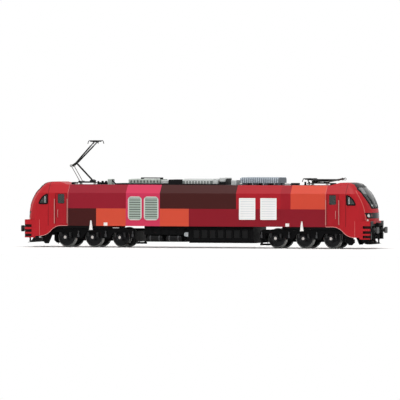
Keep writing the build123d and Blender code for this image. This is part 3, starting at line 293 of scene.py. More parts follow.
def add_piece(name, shapes, material, body):
    """Join shapes, given in millimetres, into one object that rides on a body."""
    points = np.concatenate([shape_points for shape_points, shape_faces in shapes]) * MM
    faces = []
    start = 0
    for shape_points, shape_faces in shapes:
        faces += [[start + corner for corner in face] for face in shape_faces]
        start += len(shape_points)
    mesh = bpy.data.meshes.new(name)
    mesh.from_pydata(points.tolist(), [], faces)
    mesh.materials.append(material)
    mesh.shade_smooth()
    mesh.set_sharp_from_angle(angle=SHARP_EDGE)
    piece = bpy.data.objects.new(name, mesh)
    bpy.context.scene.collection.objects.link(piece)
    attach(piece, body)
    return piece


def wound_spring(x, y, low, high):
    """Helix about an upright: radius times cosine and sine of the turn, rising evenly; and its core."""
    turn = np.linspace(0, 2 * np.pi * COIL_TURNS, STEPS_TO_A_TURN * COIL_TURNS + 1)
    rise = np.linspace(low + WIRE_RADIUS, high - WIRE_RADIUS, len(turn))
    coil = np.stack([x + COIL_RADIUS * np.cos(turn), y + COIL_RADIUS * np.sin(turn), rise], 1)
    return [tube_along(coil, WIRE_RADIUS, sides=6), tube_along([(x, y, low), (x, y, high)], CORE_RADIUS)]


bogie_axles = {1: axles[:WHEELSETS // 2], 2: axles[WHEELSETS // 2:]}
for end, three_axles in bogie_axles.items():
    dress(bogie_black, f"bogie_frame_{end}", f"magnets_{end}")
    dress(lid_grey, f"axle_boxes_{end}")
    dress(damper_grey, f"dampers_{end}")
    spring_low, spring_high = span(f"springs_{end}")
    coils = []
    for axle in three_axles:
        for beside in SIDES:
            for side in SIDES:
                coils += wound_spring(axle[0] + beside * SPRING_OFFSET, side * SPRING_Y,
                                      spring_low[2], spring_high[2])
    wound = add_piece(f"wound_springs_{end}", coils, spring_black, f"bogie_{end}")
    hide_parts(f"springs_{end}")

# Bogie fittings: four screw heads round each axle box lid, thin sand pipes that hang from the frame
# ends in front of the outer wheels, and a guard beam under each end beam, all plastic, pressed in.
SCREW_CIRCLE = 1.75
SCREW_TURNS = np.radians((45, 135, 225, 315))
# Screw head: distance out from the lid, and radius.
SCREW_HEAD = ((-0.1, 0.26), (0.14, 0.26), (0.2, 0.16))
PIPE_REACH = 27.6
PIPE_RADIUS = 0.26
# Sand pipe from the frame down to the rail: share of its reach, distance to the side, and height.
PIPE_BENDS = ((1.0, 12.4, 10.7), (1.0, 12.4, 6.5), (1.0, 9.0, 5.0), (0.985, 8.8, 2.3))
GUARD_HALF = 10.8
GUARD_TOP = 9.7
# Outer and inner guard beam: start and end, outwards from the bogie's middle, and lower edge.
GUARD_BEAMS = ((28.1, 29.6, 4.6), (-31.8, -30.2, 4.0))


def turned(centre, axis, profile, sides=12):
    """Turned shape: rows of distance along an axis and radius, spun about it, with flat ends."""
    axis = np.asarray(axis, float)
    rows = np.asarray(profile, float)
    askew = (0.3, 0.5, 0.8)
    side = np.cross(axis, askew)
    side /= np.linalg.norm(side)
    over = np.cross(axis, side)
    turn = np.linspace(0, 2 * np.pi, sides, endpoint=False)[None, :, None]
    ring = np.cos(turn) * side + np.sin(turn) * over
    points = np.asarray(centre, float) + rows[:, :1, None] * axis + rows[:, 1:, None] * ring
    return points.reshape(-1, 3), ring_faces(len(rows), sides)


def bent_path(corners, count=16):
    """Smooth path from the first corner to the last: the Bezier curve of all the corners."""
    corners = np.asarray(corners, float)
    order = len(corners) - 1
    share = np.linspace(0, 1, count)[:, None]
    weights = [math.comb(order, k) * share ** k * (1 - share) ** (order - k) for k in range(order + 1)]
    return sum(weight * corner for weight, corner in zip(weights, corners))


def block(corner, opposite, bevel=0.15):
    """Bevelled box between two opposite corners: a section of eight points carried along X and drawn
    in at both ends."""
    low, high = np.sort(np.array([corner, opposite], float), axis=0)
    centre, half = (low + high) / 2, (high - low) / 2
    sign_y, sign_z = np.array([(1, 1, 1, -1, -1, -1, -1, 1), (-1, 1, 1, 1, 1, -1, -1, -1)])
    cut_y, cut_z = np.array([(0, 0, 1, 1, 0, 0, 1, 1), (1, 1, 0, 0, 1, 1, 0, 0)])
    drawn = np.array([[1], [0], [0], [1]])
    x = np.array([[-half[0]], [bevel - half[0]], [half[0] - bevel], [half[0]]]) + 0 * cut_y
    y = sign_y * (half[1] - bevel * (cut_y + drawn))
    z = sign_z * (half[2] - bevel * (cut_z + drawn))
    return (centre + np.stack([x, y, z], -1)).reshape(-1, 3), ring_faces(4, 8)


for end, three_axles in bogie_axles.items():
    bogie_x = three_axles[1][0]
    outwards = np.sign(bogie_x)
    lid_face = span(f"axle_boxes_{end}")[1][1]
    beams = [block((bogie_x + outwards * start, -GUARD_HALF, bottom),
                   (bogie_x + outwards * stop, GUARD_HALF, GUARD_TOP))
             for start, stop, bottom in GUARD_BEAMS]
    add_piece(f"guard_beams_{end}", beams, bogie_black, f"bogie_{end}")
    screws = [turned((axle[0] + SCREW_CIRCLE * math.cos(turn), side * lid_face,
                      axle[2] + SCREW_CIRCLE * math.sin(turn)), (0, side, 0), SCREW_HEAD, sides=6)
              for side in SIDES for axle in three_axles for turn in SCREW_TURNS]
    pipes = [tube_along(bent_path([(bogie_x + share * reach, side * out, height)
                                   for share, out, height in PIPE_BENDS]), PIPE_RADIUS, sides=8)
             for side in SIDES for reach in (PIPE_REACH, -PIPE_REACH)]
    add_piece(f"lid_screws_{end}", screws, damper_grey, f"bogie_{end}")
    add_piece(f"sand_pipes_{end}", pipes, bogie_black, f"bogie_{end}")

# Underfloor gear: equipment box and fuel tank, two black mouldings screwed under the sill, air
# reservoirs strapped into a recess of the box, and a grey filler at the tank's end. Hatches close
# the tank's bays, two pipes run along under the sill, and covers are glued to the chassis webs.
CORNERS = [(end, side) for end in SIDES for side in SIDES]
BAYS = range(-3, 4)
BAY_PITCH = 6.0
HATCH_HALF = 2.1
HATCH_BACK, HATCH_FACE = 14.6, 15.05
HATCH_LOW, HATCH_HIGH = 7.2, 12.8
STRAP_PLACES = (-10.35, -3.75, 3.75, 10.35)
STRAP_HALF = 0.4
STRAP_SUNK, STRAP_PROUD = 0.1, 0.08
RUN_HEIGHTS = (13.6, 14.5)
RUN_RADIUS = 0.3
RUN_INSET, RUN_BEND = 0.4, 0.6
RUN_BACK, RUN_FACE = 14.6, 15.5
COVER_X, COVER_HALF = 64.8, 1.6
COVER_BACK, COVER_FACE = 13.2, 14.6
COVER_LOW = 13.55
sill = span("body_shell")[0][2]
tank_black = moulded("tank_black", "070708", "0f0f10", (0.38, 0.6), depth=0.04, gloss=0.05)
dress(tank_black, "equipment_box", "fuel_tank")
reservoir_black = moulded("reservoir_black", "0a0a0b", "131314", (0.3, 0.45), depth=0.02, gloss=0.12)
dress(reservoir_black, "air_reservoirs")
dress(moulded("filler_grey", "8f9396", "aab0b2", (0.4, 0.55)), "fuel_filler")

bay_middles = [middle("fuel_tank")[0] + bay * BAY_PITCH for bay in BAYS]
hatches = [block((bay_x - HATCH_HALF, side * HATCH_BACK, HATCH_LOW),
                 (bay_x + HATCH_HALF, side * HATCH_FACE, HATCH_HIGH), bevel=0.12)
           for bay_x in bay_middles for side in SIDES]
add_piece("tank_hatches", hatches, reservoir_black, "body")

reservoir_low, reservoir_high = span("air_reservoirs")
reservoir_radius = (reservoir_high[2] - reservoir_low[2]) / 2
reservoir_x = middle("air_reservoirs")[0]
reservoir_y, reservoir_z = reservoir_high[1:] - reservoir_radius
# Strap section: distance along the reservoir, and radius.
strap_inner, strap_outer = reservoir_radius - STRAP_SUNK, reservoir_radius + STRAP_PROUD
strap = ((-STRAP_HALF, strap_inner), (-STRAP_HALF, strap_outer),
         (STRAP_HALF, strap_outer), (STRAP_HALF, strap_inner))
straps = [turned((reservoir_x + place, side * reservoir_y, reservoir_z), (1, 0, 0), strap, sides=24)
          for place in STRAP_PLACES for side in SIDES]
add_piece("reservoir_straps", straps, damper_grey, "body")

run_start = span("equipment_box")[0][0] + RUN_INSET
run_stop = span("fuel_tank")[1][0] - RUN_INSET
runs = [tube_along([(run_start, side * RUN_BACK, height), (run_start + RUN_BEND, side * RUN_FACE, height),
                    (run_stop - RUN_BEND, side * RUN_FACE, height), (run_stop, side * RUN_BACK, height)],
                   RUN_RADIUS, sides=8)
        for height in RUN_HEIGHTS for side in SIDES]
add_piece("sill_pipes", runs, bogie_black, "body")
covers = [block((end * COVER_X - COVER_HALF, side * COVER_BACK, COVER_LOW),
                (end * COVER_X + COVER_HALF, side * COVER_FACE, sill), bevel=0.1)
          for end, side in CORNERS]
add_piece("web_covers", covers, bogie_black, "body")

# Body shell: one plastic moulding, printed and sprayed in plain blocks of red, pink, orange and
# brown under a satin lacquer. The roof deck between the cabs is grey.
RAIL = 1.0
BAND_EDGE = 26.7 + RAIL
COVE = 37.6 + RAIL
DECK_EDGE, DECK_SKIN = 12.0, 0.06
CAB_BACK = 95.7
MARGIN = 0.1
CAB_LIGHT, CAB_DEEP = "b41d27", "a81820"
side_wall = span("body_shell")[1][1]
roof = span("cooler_hood")[0][2]
# Blocks of the upper band: where each starts and ends along the body, and its colour.
upper_blocks = (
    (-95.9, -52.2, "8f1628"), (-52.2, -26.9, "c83556"), (-26.9, 29.7, "3e1210"),
    (29.7, 62.5, "a51824"), (62.5, 69.9, "981522"), (69.9, 95.6, "cc4733"),
)
# Blocks of the lower band, in the same way.
lower_blocks = (
    (-95.9, -74.5, "3c0c0b"), (-74.5, -52.4, "cd4b35"), (-52.4, -26.9, "c83556"),
    (-26.9, -5.4, "cd4b35"), (-5.4, 95.6, "841020"),
)


def lacquer(name):
    """Satin lacquer over printed colour, with a faint orange peel; its red, and the axes of a place."""
    material, place = new_finish(name, Specular_IOR_Level=0.14, Coat_Roughness=0.25)
    cloud = place.grain(0.05, 3.0)
    wire(material,
         Roughness=0.4 + 0.14 * cloud,
         Coat_Weight=0.02 + 0.05 * cloud,
         Normal=place.grain(1.6, 1.0).raised(0.012))
    return material, cloud.paint(tone(CAB_DEEP), tone(CAB_LIGHT)), *place.axes()


livery, colour, x, y, z = lacquer("livery")
for blocks, band in ((upper_blocks, z.above(BAND_EDGE)), (lower_blocks, z.below(BAND_EDGE))):
    for start, stop, code in blocks:
        colour = (band * x.within(start, stop)).paint(colour, tone(code))

# Doors a shade deeper than the cab, with dark grooves at both edges.
DOOR_X, DOOR_HALF = 100.8, 4.3
DOOR_LOW, DOOR_HIGH = 16.2, 38.2
DOOR_SUNK, DOOR_TINT = 0.4, 0.35
GROOVE_HALF, GROOVE_TINT = 0.15, 0.6
beside = abs(abs(x) - DOOR_X * MM)
door = abs(y).above(side_wall - DOOR_SUNK) * z.within(DOOR_LOW, DOOR_HIGH)
groove = door * beside.within(DOOR_HALF - GROOVE_HALF, DOOR_HALF + GROOVE_HALF)
colour = (door * beside.below(DOOR_HALF) * DOOR_TINT).paint(colour, tone("8c0e20"))
colour = (groove * GROOVE_TINT).paint(colour, tone("4a070f"))

# White squares low on the side, a painted highlight along the joint behind each cab, a dark joint in each
# nose, and the deck.
SQUARE_START, SQUARE_STOP = 66.1, 68.9
SQUARE_LOW, SQUARE_HIGH = 15.5, 17.7
JOINT_HALF, JOINT_HIGHLIGHT_TINT = 0.15, 0.5
NOSE_JOINT_BACK, NOSE_JOINT_FRONT = 110.3, 110.65
NOSE_JOINT_REACH, NOSE_JOINT_TINT = 9.5, 0.9
square = (abs(y).above(side_wall - 2 * MARGIN) * abs(x).within(SQUARE_START, SQUARE_STOP)
          * z.within(SQUARE_LOW, SQUARE_HIGH))
colour = square.paint(colour, tone("ece8e4"))
# Painted highlight: a pale line along the joint behind each cab, where its edge catches the light.
back_joint_highlight = abs(x).within(CAB_BACK - JOINT_HALF, CAB_BACK + JOINT_HALF) * abs(y).above(DECK_EDGE - MARGIN)
colour = (back_joint_highlight * JOINT_HIGHLIGHT_TINT).paint(colour, tone("d8928c"))
nose_joint = abs(x).within(NOSE_JOINT_BACK, NOSE_JOINT_FRONT) * abs(y).above(NOSE_JOINT_REACH)
colour = (nose_joint * NOSE_JOINT_TINT).paint(colour, tone("4b0c10"))
deck = z.above(roof - DECK_SKIN) * abs(x).below(CAB_BACK + MARGIN) * abs(y).below(DECK_EDGE - MARGIN)
colour = deck.paint(colour, tone("4d5052"))

# A pale painted highlight along the crease that curves down each nose corner, from beside the windscreen
# to the
# lamp band: the crease is the straight line through two points of it, less a bow times the heights above
# both.
CREASE_FOOT, CREASE_TOP = (124.3, 22.3), (122.5, 30.9)
CREASE_BOW = 0.01857
CREASE_HALF, CREASE_HIGHLIGHT_TINT = 0.2, 0.4
CREASE_LOW, CREASE_HIGH = 20.0, 41.0
CREASE_INNER = 12.6
above_foot, above_top = z - CREASE_FOOT[1] * MM, z - CREASE_TOP[1] * MM
crease_lean = (CREASE_FOOT[0] - CREASE_TOP[0]) / (CREASE_TOP[1] - CREASE_FOOT[1])
bend = CREASE_FOOT[0] * MM - crease_lean * above_foot - above_foot * above_top * (CREASE_BOW / MM)
crease_highlight = (abs(abs(x) - bend).below(CREASE_HALF) * z.within(CREASE_LOW, CREASE_HIGH)
          * abs(y).within(CREASE_INNER, side_wall - MARGIN / 2))
colour = (crease_highlight * CREASE_HIGHLIGHT_TINT).paint(colour, tone("e2968c"))

# Black frame round the windscreen, widening upwards and carried up over the front of the cab roof.
SCREEN_FOOT, SCREEN_HALF = 28.0, 8.3
SCREEN_FLARE, FLARE_HEIGHT = 0.42, 8.8
FRAME_LOW, FRAME_FULL = 28.2, 39.5
FRAME_BACK = 117.0
CAP_BACK, CAP_LOW = 110.8, 43.0
CAP_HALF, CAP_START, CAP_TAPER = 12.2, 41.5, 0.75
flare = SCREEN_FLARE * (z - SCREEN_FOOT * MM).most(0.0).least(FLARE_HEIGHT * MM)
screen = (abs(y) - flare).below(SCREEN_HALF) | z.above(FRAME_FULL)
cap = (abs(y) + CAP_TAPER * (z - CAP_START * MM).most(0.0)).below(CAP_HALF)
nose = abs(x).above(FRAME_BACK) | z.above(CAP_LOW)
black = screen * cap * nose * abs(x).above(CAP_BACK) * z.above(FRAME_LOW)
colour = black.paint(colour, tone("101012"))

# The inside of the shell, left in dark grey plastic.
SIDE_SKIN, ROOF_SKIN, BACK_SKIN = 0.75, 0.6, 0.7
COVE_LEAN = (side_wall - DECK_EDGE) / (roof - COVE)
wall = abs(y) + COVE_LEAN * (z - COVE * MM).most(0.0)
inside = wall.below(side_wall - SIDE_SKIN) * z.below(roof - ROOF_SKIN) * abs(x).below(CAB_BACK - BACK_SKIN)
colour = inside.paint(colour, tone("3a3a3c"))
dress(wire(livery, Base_Color=colour), "body_shell")

# Front skirts: the coupler beam with its corner towers, steps and swept cheeks, one moulding in
# the cab's red that is glued under each nose. Tower insides and the beam's front are black,
# the step pockets are darkened with painted shade, and a pale tube along the swept lower edge is
# a painted highlight of that edge.
STEPS = (15.2, 11.7, 8.5)
STEP_HALF = 0.97
STEP_DEPTH, STEP_INNER = 5.7, 14.8
SEAM_BACK, SEAM_FRONT, SEAM_HIGHLIGHT_TINT = 116.95, 117.2, 0.6
SKIRT_SKIN = 0.3
TOWER_INNER, TOWER_ROOF = 12.95, 16.3
CHEEK_INNER, CHEEK_FRONT = 15.35, 120.6
BEAM_TOP, BEAM_HALF = 17.8, 9.0
SWEEP_START, SWEEP_STOP = (100.6, 15.3), (116.6, 8.0)
EDGE_HIGHLIGHT_LEVEL = 4.7
EDGE_HIGHLIGHT_RADIUS = 0.2
EDGE_HIGHLIGHT_LIFT, EDGE_HIGHLIGHT_SUNK = 0.1, 0.05
skirt_front = span("front_skirts")[1][0]
skirt_red, colour, x, y, z = lacquer("skirt_red")
# Painted shade: the step pockets are darkened where their recesses fall into shade.
pocket_shade = abs(x).above(skirt_front - STEP_DEPTH) * abs(y).within(STEP_INNER, side_wall - MARGIN)
for step in STEPS:
    colour = (pocket_shade * z.within(step - STEP_HALF, step + STEP_HALF)).paint(colour, tone("2a0a0b"))
# Painted highlight: a pale line along the seam at each nose corner, where its edge catches the light.
seam_highlight = abs(x).within(SEAM_BACK, SEAM_FRONT) * abs(y).above(side_wall - SKIRT_SKIN)
colour = (seam_highlight * SEAM_HIGHLIGHT_TINT).paint(colour, tone("e0908c"))
in_tower = abs(y).below(TOWER_INNER) * z.below(TOWER_ROOF)
in_cheek = abs(y).below(CHEEK_INNER) * abs(x).below(CHEEK_FRONT)
colour = (in_tower | in_cheek).paint(colour, tone("141415"))
front = abs(x).above(skirt_front - SKIRT_SKIN) * (z.below(BEAM_TOP) | abs(y).above(BEAM_HALF))
colour = front.paint(colour, tone("101011"))
dress(wire(skirt_red, Base_Color=colour), "front_skirts")


def swept_edge(end, side):
    """A level start, then two arcs of one radius that meet half-way: sine forward and one minus
    cosine downward, then the same turned about the middle."""
    reach = (SWEEP_STOP[0] - SWEEP_START[0]) / 2
    drop = (SWEEP_START[1] - SWEEP_STOP[1]) / 2
    radius = (reach ** 2 + drop ** 2) / (2 * drop)
    turn = np.linspace(0, math.asin(reach / radius), 16)
    forward, down = radius * np.sin(turn), radius * (1 - np.cos(turn))
    run = np.concatenate([[-EDGE_HIGHLIGHT_LEVEL], forward, 2 * reach - forward[-2::-1]])
    fall = np.concatenate([[0], down, 2 * drop - down[-2::-1]])
    wall_y = np.full(len(run), side * (side_wall - EDGE_HIGHLIGHT_SUNK))
    return np.stack([end * (SWEEP_START[0] + run), wall_y, SWEEP_START[1] - fall + EDGE_HIGHLIGHT_LIFT], 1)


# A pale tube along each swept lower edge: a painted highlight of that edge.
edge_highlight_tubes = [tube_along(swept_edge(end, side), EDGE_HIGHLIGHT_RADIUS, sides=8) for end, side in CORNERS]
edge_highlight_pale = moulded("edge_highlight_pale", "cd8480", "da9894", (0.4, 0.55))
add_piece("skirt_edge_highlight", edge_highlight_tubes, edge_highlight_pale, "body")

# Glazing: panes moulded in clear plastic, the windscreens smoked dark, pressed in from inside.
# Black beads run round the panes, and a white bar in each quarter window is a painted reflection on the
# pane.
NOSE_TIP = 128.4
NOSE_BOW = 31.0
NOSE_CORNER = 7.5
# Nose profile: height above the floor and how far the front lies behind the nose tip.
lower_rows = np.array([(sill, 0.6), (25.2, 0.0), (32.0, 1.7), (COVE, 5.15)])
upper_rows = np.array([(COVE, 5.15), (41.5, 7.5), (roof, 10.4)])
lower_fit = np.polyfit(lower_rows[:, 0], lower_rows[:, 1], 3)
upper_fit = np.polyfit(upper_rows[:, 0], upper_rows[:, 1], 2)
# Windscreen corners of one half, front view: distance from the middle, and height.
SCREEN_CORNERS = ((7.4, 28.7), (11.1, 37.4), (11.5, 41.4), (9.6, 43.4))
CORNER_CUT = 0.08
SCREEN_BEAD, DOOR_BEAD, QUARTER_BEAD = 0.3, 0.22, 0.55
BEAD_SUNK, REFLECTION_BAR_SUNK = 0.2, 0.25
DOOR_PANE_Z = 34.4
DOOR_PANE_HALF = np.array((1.85, 2.7))
DOOR_PANE_CORNER = 0.65
# Quarter window, side view: its straight edges, and the corners that its curved edge bends past.
QUARTER_STRAIGHT = ((111.2, 34.3), (111.2, 31.3), (111.6, 30.9), (114.3, 30.9), (117.0, 30.9))
QUARTER_CURVE = ((117.4, 31.1), (115.9, 35.8), (111.4, 37.6))
QUARTER_CLOSE = ((111.2, 37.3), (111.2, 34.3))
REFLECTION_BAR_X, REFLECTION_BAR_RADIUS = 112.9, 0.32
REFLECTION_BAR_LOW, REFLECTION_BAR_HIGH = 31.4, 36.4


def clear_pane(name, tint, deep, through):
    """Clear plastic: a tint that light takes on as it passes, with faint moulding marks."""
    material, place = new_finish(name, Transmission_Weight=through, IOR=1.46)
    fine = place.grain(0.5)
    wire(material, Base_Color=fine.paint(tone(tint), tone(deep)), Roughness=0.03 + 0.05 * fine)
    return material


def on_nose(end, y, z, off):
    """Points that far off the nose: the tip less the fitted setback at each height, on the front's
    wide circle in plan and, past where they meet, on the corner's small one."""
    y, z = np.asarray(y, float), np.asarray(z, float)
    setback = np.where(z < COVE, np.polyval(lower_fit, z), np.polyval(upper_fit, z))
    corner_y = np.interp(z, (COVE, roof), (side_wall, DECK_EDGE)) - NOSE_CORNER
    corner_x = np.sqrt((NOSE_BOW - NOSE_CORNER) ** 2 - corner_y ** 2)
    bow = np.sqrt(NOSE_BOW ** 2 - y ** 2)
    corner = corner_x + np.sqrt(np.maximum(NOSE_CORNER ** 2 - (abs(y) - corner_y) ** 2, 0))
    meet_y = NOSE_BOW * corner_y / (NOSE_BOW - NOSE_CORNER)
    reach = NOSE_TIP - setback - NOSE_BOW + np.where(abs(y) < meet_y, bow, corner)
    return np.stack([end * (reach + off), y, z], -1)


dress(clear_pane("smoked_pane", "17191b", "1d2022", through=0.6), "windscreens")
dress(clear_pane("clear_pane", "4d5a55", "57645f", through=0.8), "side_glass")

# The windscreen's outline: the straight edges of both halves without their corners.
screen_half = np.array(SCREEN_CORNERS)
screen_corners = np.concatenate([screen_half, screen_half[::-1] * (-1, 1)])
share = np.linspace(CORNER_CUT, 1 - CORNER_CUT, 9)[:, None]
around = np.concatenate([here + share * (there - here)
                         for here, there in zip(screen_corners, np.roll(screen_corners, -1, axis=0))])
around = np.concatenate([around, around[:1]])
beads = [tube_along(on_nose(end, *around.T, off=0.0), SCREEN_BEAD, sides=8) for end in SIDES]
# The door pane's outline: the middle plus each straight half by its sign and the corner's circle.
turn = np.linspace(0, 2 * np.pi, 33)
circle = np.stack([np.cos(turn), np.sin(turn)], 1)
door_pane = ((DOOR_X, DOOR_PANE_Z) + DOOR_PANE_HALF * np.sign(np.round(circle, 6))
             + DOOR_PANE_CORNER * circle)
quarter = np.concatenate([QUARTER_STRAIGHT, bent_path(QUARTER_CURVE), QUARTER_CLOSE])
for end, side in CORNERS:
    for outline, thick in ((door_pane, DOOR_BEAD), (quarter, QUARTER_BEAD)):
        bead_y = np.full(len(outline), side * (side_wall - BEAD_SUNK))
        path = np.stack([end * outline[:, 0], bead_y, outline[:, 1]], 1)
        beads.append(tube_along(path, thick, sides=8))
# A white bar in each quarter window: a painted reflection on the pane.
bars = [tube_along([(end * REFLECTION_BAR_X, side * (side_wall - REFLECTION_BAR_SUNK), height)
                    for height in (REFLECTION_BAR_LOW, REFLECTION_BAR_HIGH)], REFLECTION_BAR_RADIUS, sides=8)
        for end, side in CORNERS]
reflection_white = moulded("reflection_white", "d9dcda", "e6e8e6", (0.4, 0.5))
add_piece("window_reflections", bars, reflection_white, "body")
bead_black = moulded("bead_black", "060607", "0d0d0e", (0.4, 0.55), depth=0.02, gloss=0.05)
add_piece("pane_beads", beads, bead_black, "body")

# Wipers: two to a windscreen, arms and blades of thin black wire that stand on a boss at the lower
# edge and lie folded along the pane.
ARM_RADIUS, BLADE_RADIUS, BOSS_RADIUS = 0.14, 0.17, 0.3
ARM_OFF, BLADE_OFF = 0.42, 0.3
BOSS_LOW, BOSS_HIGH = 29.1, 29.6
# Arm and blade, front view: distance from the middle and height where each starts, and its reach.
ARM_START, ARM_REACH = (2.2, 29.3), (3.2, 6.0)
BLADE_START, BLADE_REACH = (4.6, 31.6), (2.0, 6.2)
wipers = []
share = np.linspace(0, 1, 9)
for end, side in CORNERS:
    arm = on_nose(end, side * (ARM_START[0] + ARM_REACH[0] * share),
                  ARM_START[1] + ARM_REACH[1] * share, ARM_OFF)
    blade = on_nose(end, side * (BLADE_START[0] + BLADE_REACH[0] * share),
                    BLADE_START[1] + BLADE_REACH[1] * share, BLADE_OFF)
    boss = on_nose(end, [side * ARM_START[0]] * 2, [BOSS_LOW, BOSS_HIGH], BLADE_OFF)
    wipers += [tube_along(arm, ARM_RADIUS, sides=6), tube_along(blade, BLADE_RADIUS, sides=6),
               tube_along(boss, BOSS_RADIUS, sides=8)]
wiper_black = moulded("wiper_black", "0c0c0d", "171718", (0.35, 0.5))
add_piece("wipers", wipers, wiper_black, "body")

# Lamps: a black band that wraps round the nose corners, clear lenses in front of white guides and
# red ones beside them, all pressed in from inside.
band_black = moulded("band_black", "08080a", "101013", (0.15, 0.25), depth=0.01, gloss=0.15)
dress(band_black, "lamp_housings")
lens_white = moulded("lens_white", "c6cdc7", "dbe0da", (0.06, 0.12), depth=0.01, gloss=0.5)
dress(lens_white, "head_lamps")
lens_red = moulded("lens_red", "4a0b0b", "641010", (0.06, 0.12), depth=0.01, gloss=0.5)
dress(lens_red, "tail_lamps")

# Side grilles: etched frames with level slats let into the body side. The round-cornered pair has
# pale frames and green-grey slats, the other pair is sprayed white all over. In both, the recess
# behind the slats is darkened with painted shade.
FRAME_PROUD, SLAT_SUNK = 0.05, 0.3
GRILLE_BACK, SLAT_BACK = side_wall + FRAME_PROUD, side_wall - SLAT_SUNK


def coated(name, dark, light, rough, coats, depth=0.02, grains=2.0):
    """Two close tones with a fine raised grain, and coats over them: each is a colour, and the mask
    of where it lies, worked out from X, Y and height."""
    material, place = new_finish(name, Specular_IOR_Level=0.3)
    fine = place.grain(grains)
    axes = place.axes()
    colour = fine.paint(tone(dark), tone(light))
    for code, mask in coats:
        colour = mask(*axes).paint(colour, tone(code))
    smoothest, roughest = rough
    return wire(material, Base_Color=colour, Roughness=smoothest + (roughest - smoothest) * fine,
                Normal=fine.raised(depth))


# Pale frames, and painted shade: a dark green-grey in the recess behind the slats.
grille_frame_and_shade_coats = (("cdd3cc", lambda x, y, z: abs(y).above(GRILLE_BACK)),
                ("333d37", lambda x, y, z: abs(y).below(SLAT_BACK)))
dress(coated("grille_grey", "97a69b", "a8b6ac", (0.45, 0.6), grille_frame_and_shade_coats), "round_grilles")
# Painted shade: a slightly greyer white in the recess behind the slats.
louvre_shade_coats = (("dde1e2", lambda x, y, z: abs(y).below(SLAT_BACK)),)
dress(coated("louvre_white", "f1f1f0", "f8f8f7", (0.42, 0.54), louvre_shade_coats), "louvre_panels")

# Cab interiors: floor, desk and seats in one grey moulding behind each windscreen, the seats and
# the desk top brushed darker by hand.
SEAT_BACK, SEAT_FRONT, SEAT_LOW = 102.0, 108.5, 19.5
DESK_BACK, DESK_LOW = 110.5, 24.5
cab_coats = (("23262c", lambda x, y, z: abs(x).within(SEAT_BACK, SEAT_FRONT) * z.above(SEAT_LOW)),
             ("2c2e30", lambda x, y, z: abs(x).above(DESK_BACK) * z.above(DESK_LOW)))
cab_grey = coated("cab_grey", "6f7274", "84888a", (0.5, 0.7), cab_coats, depth=0.03, grains=1.5)
dress(cab_grey, "cab_interiors")

# Handrails, door grips and lifting lugs: bent wire rails and short grips in a pale red by the
# doors, and flat white straps glued to the body side over the bogie centres.
GRIP_X = 103.2
GRIP_LOW, GRIP_HIGH = 21.3, 26.6
GRIP_CORNER = 1.3
GRIP_RADIUS = 0.2
GRIP_SUNK, GRIP_PROUD = 0.1, 0.7
rail_pale = moulded("rail_pale", "b4746e", "c68d86", (0.35, 0.5))
dress(rail_pale, "handrails")
dress(moulded("lug_white", "e6e4e0", "f2f0ed", (0.4, 0.55)), "lifting_lugs")

grips = []
for end, side in CORNERS:
    wall_y, bar_y = side * (side_wall - GRIP_SUNK), side * (side_wall + GRIP_PROUD)
    bends = ((wall_y, GRIP_LOW), (bar_y, GRIP_LOW), (bar_y, GRIP_LOW + GRIP_CORNER),
             (bar_y, GRIP_HIGH - GRIP_CORNER), (bar_y, GRIP_HIGH), (wall_y, GRIP_HIGH))
    grips.append(tube_along(bent_path([(end * GRIP_X, *bend) for bend in bends]), GRIP_RADIUS, sides=8))
add_piece("door_grips", grips, rail_pale, "body")

# Ends: turned buffers, a draw hook, air hoses and a snow plough. The buffers are blackened steel,
# the rest is black plastic, and all are pushed into the chassis casting.
dress(moulded("sleeve_grey", "141415", "222224", (0.4, 0.55)), "buffer_sleeves")
dress(moulded("buffer_steel", "2c2c2d", "434343", (0.35, 0.5), Metallic=0.6), "buffer_heads")
end_black = moulded("end_black", "0a0a0b", "131315", (0.42, 0.62), depth=0.04, gloss=0.08)
dress(end_black, "coupling_hooks", "air_hoses", "ploughs")

# End fittings: a small pale marker lamp low on each nose corner, a black jumper box with two plugs
# over the hook and two square cable sockets with sprung lids, all plastic, pegged to the buffer beam.
MARKER_Y, MARKER_Z = 13.1, 20.0
MARKER_FACING = (0.8, 0.6)
# Marker lamp: distance out from the nose, and radius.
MARKER = ((-0.5, 0.85), (0.15, 0.85), (0.25, 0.7), (0.3, 0.3))
# Each fitting: two opposite corners, ahead of the beam, out from the middle and up; and its bevel.
SOCKET = ((0.0, 2.3, 13.9), (1.1, 4.1, 15.7), 0.2)
SOCKET_LID = ((1.0, 2.1, 14.4), (1.4, 4.3, 15.9), 0.12)
PLUG = ((4.5, 0.7, 16.2), (5.3, 3.1, 18.0), 0.3)
JUMPER_BOX = ((2.4, -3.8, 15.9), (4.6, 3.8, 18.3), 0.3)
buffer_beam = span("chassis_frame")[1][0]


def end_block(end, side, corner, opposite, bevel):
    """Bevelled box between two corners given ahead of the buffer beam, out from the middle and up."""
    places = [(end * (buffer_beam + ahead), side * out, up) for ahead, out, up in (corner, opposite)]
    return block(*places, bevel)


markers = []
sockets = []
for end, side in CORNERS:
    marker_axis = (end * MARKER_FACING[0], side * MARKER_FACING[1], 0)
    marker_place = on_nose(end, side * MARKER_Y, MARKER_Z, off=0.0)
    markers.append(turned(marker_place, marker_axis, MARKER, sides=20))
    sockets += [end_block(end, side, *fitting) for fitting in (SOCKET, SOCKET_LID, PLUG)]
sockets += [end_block(end, 1, *JUMPER_BOX) for end in SIDES]
lens_pale = moulded("lens_pale", "d9d4c8", "ece8dd", (0.1, 0.2), depth=0.01, gloss=0.5)
add_piece("marker_lamps", markers, lens_pale, "body")
add_piece("cable_sockets", sockets, end_black, "body")

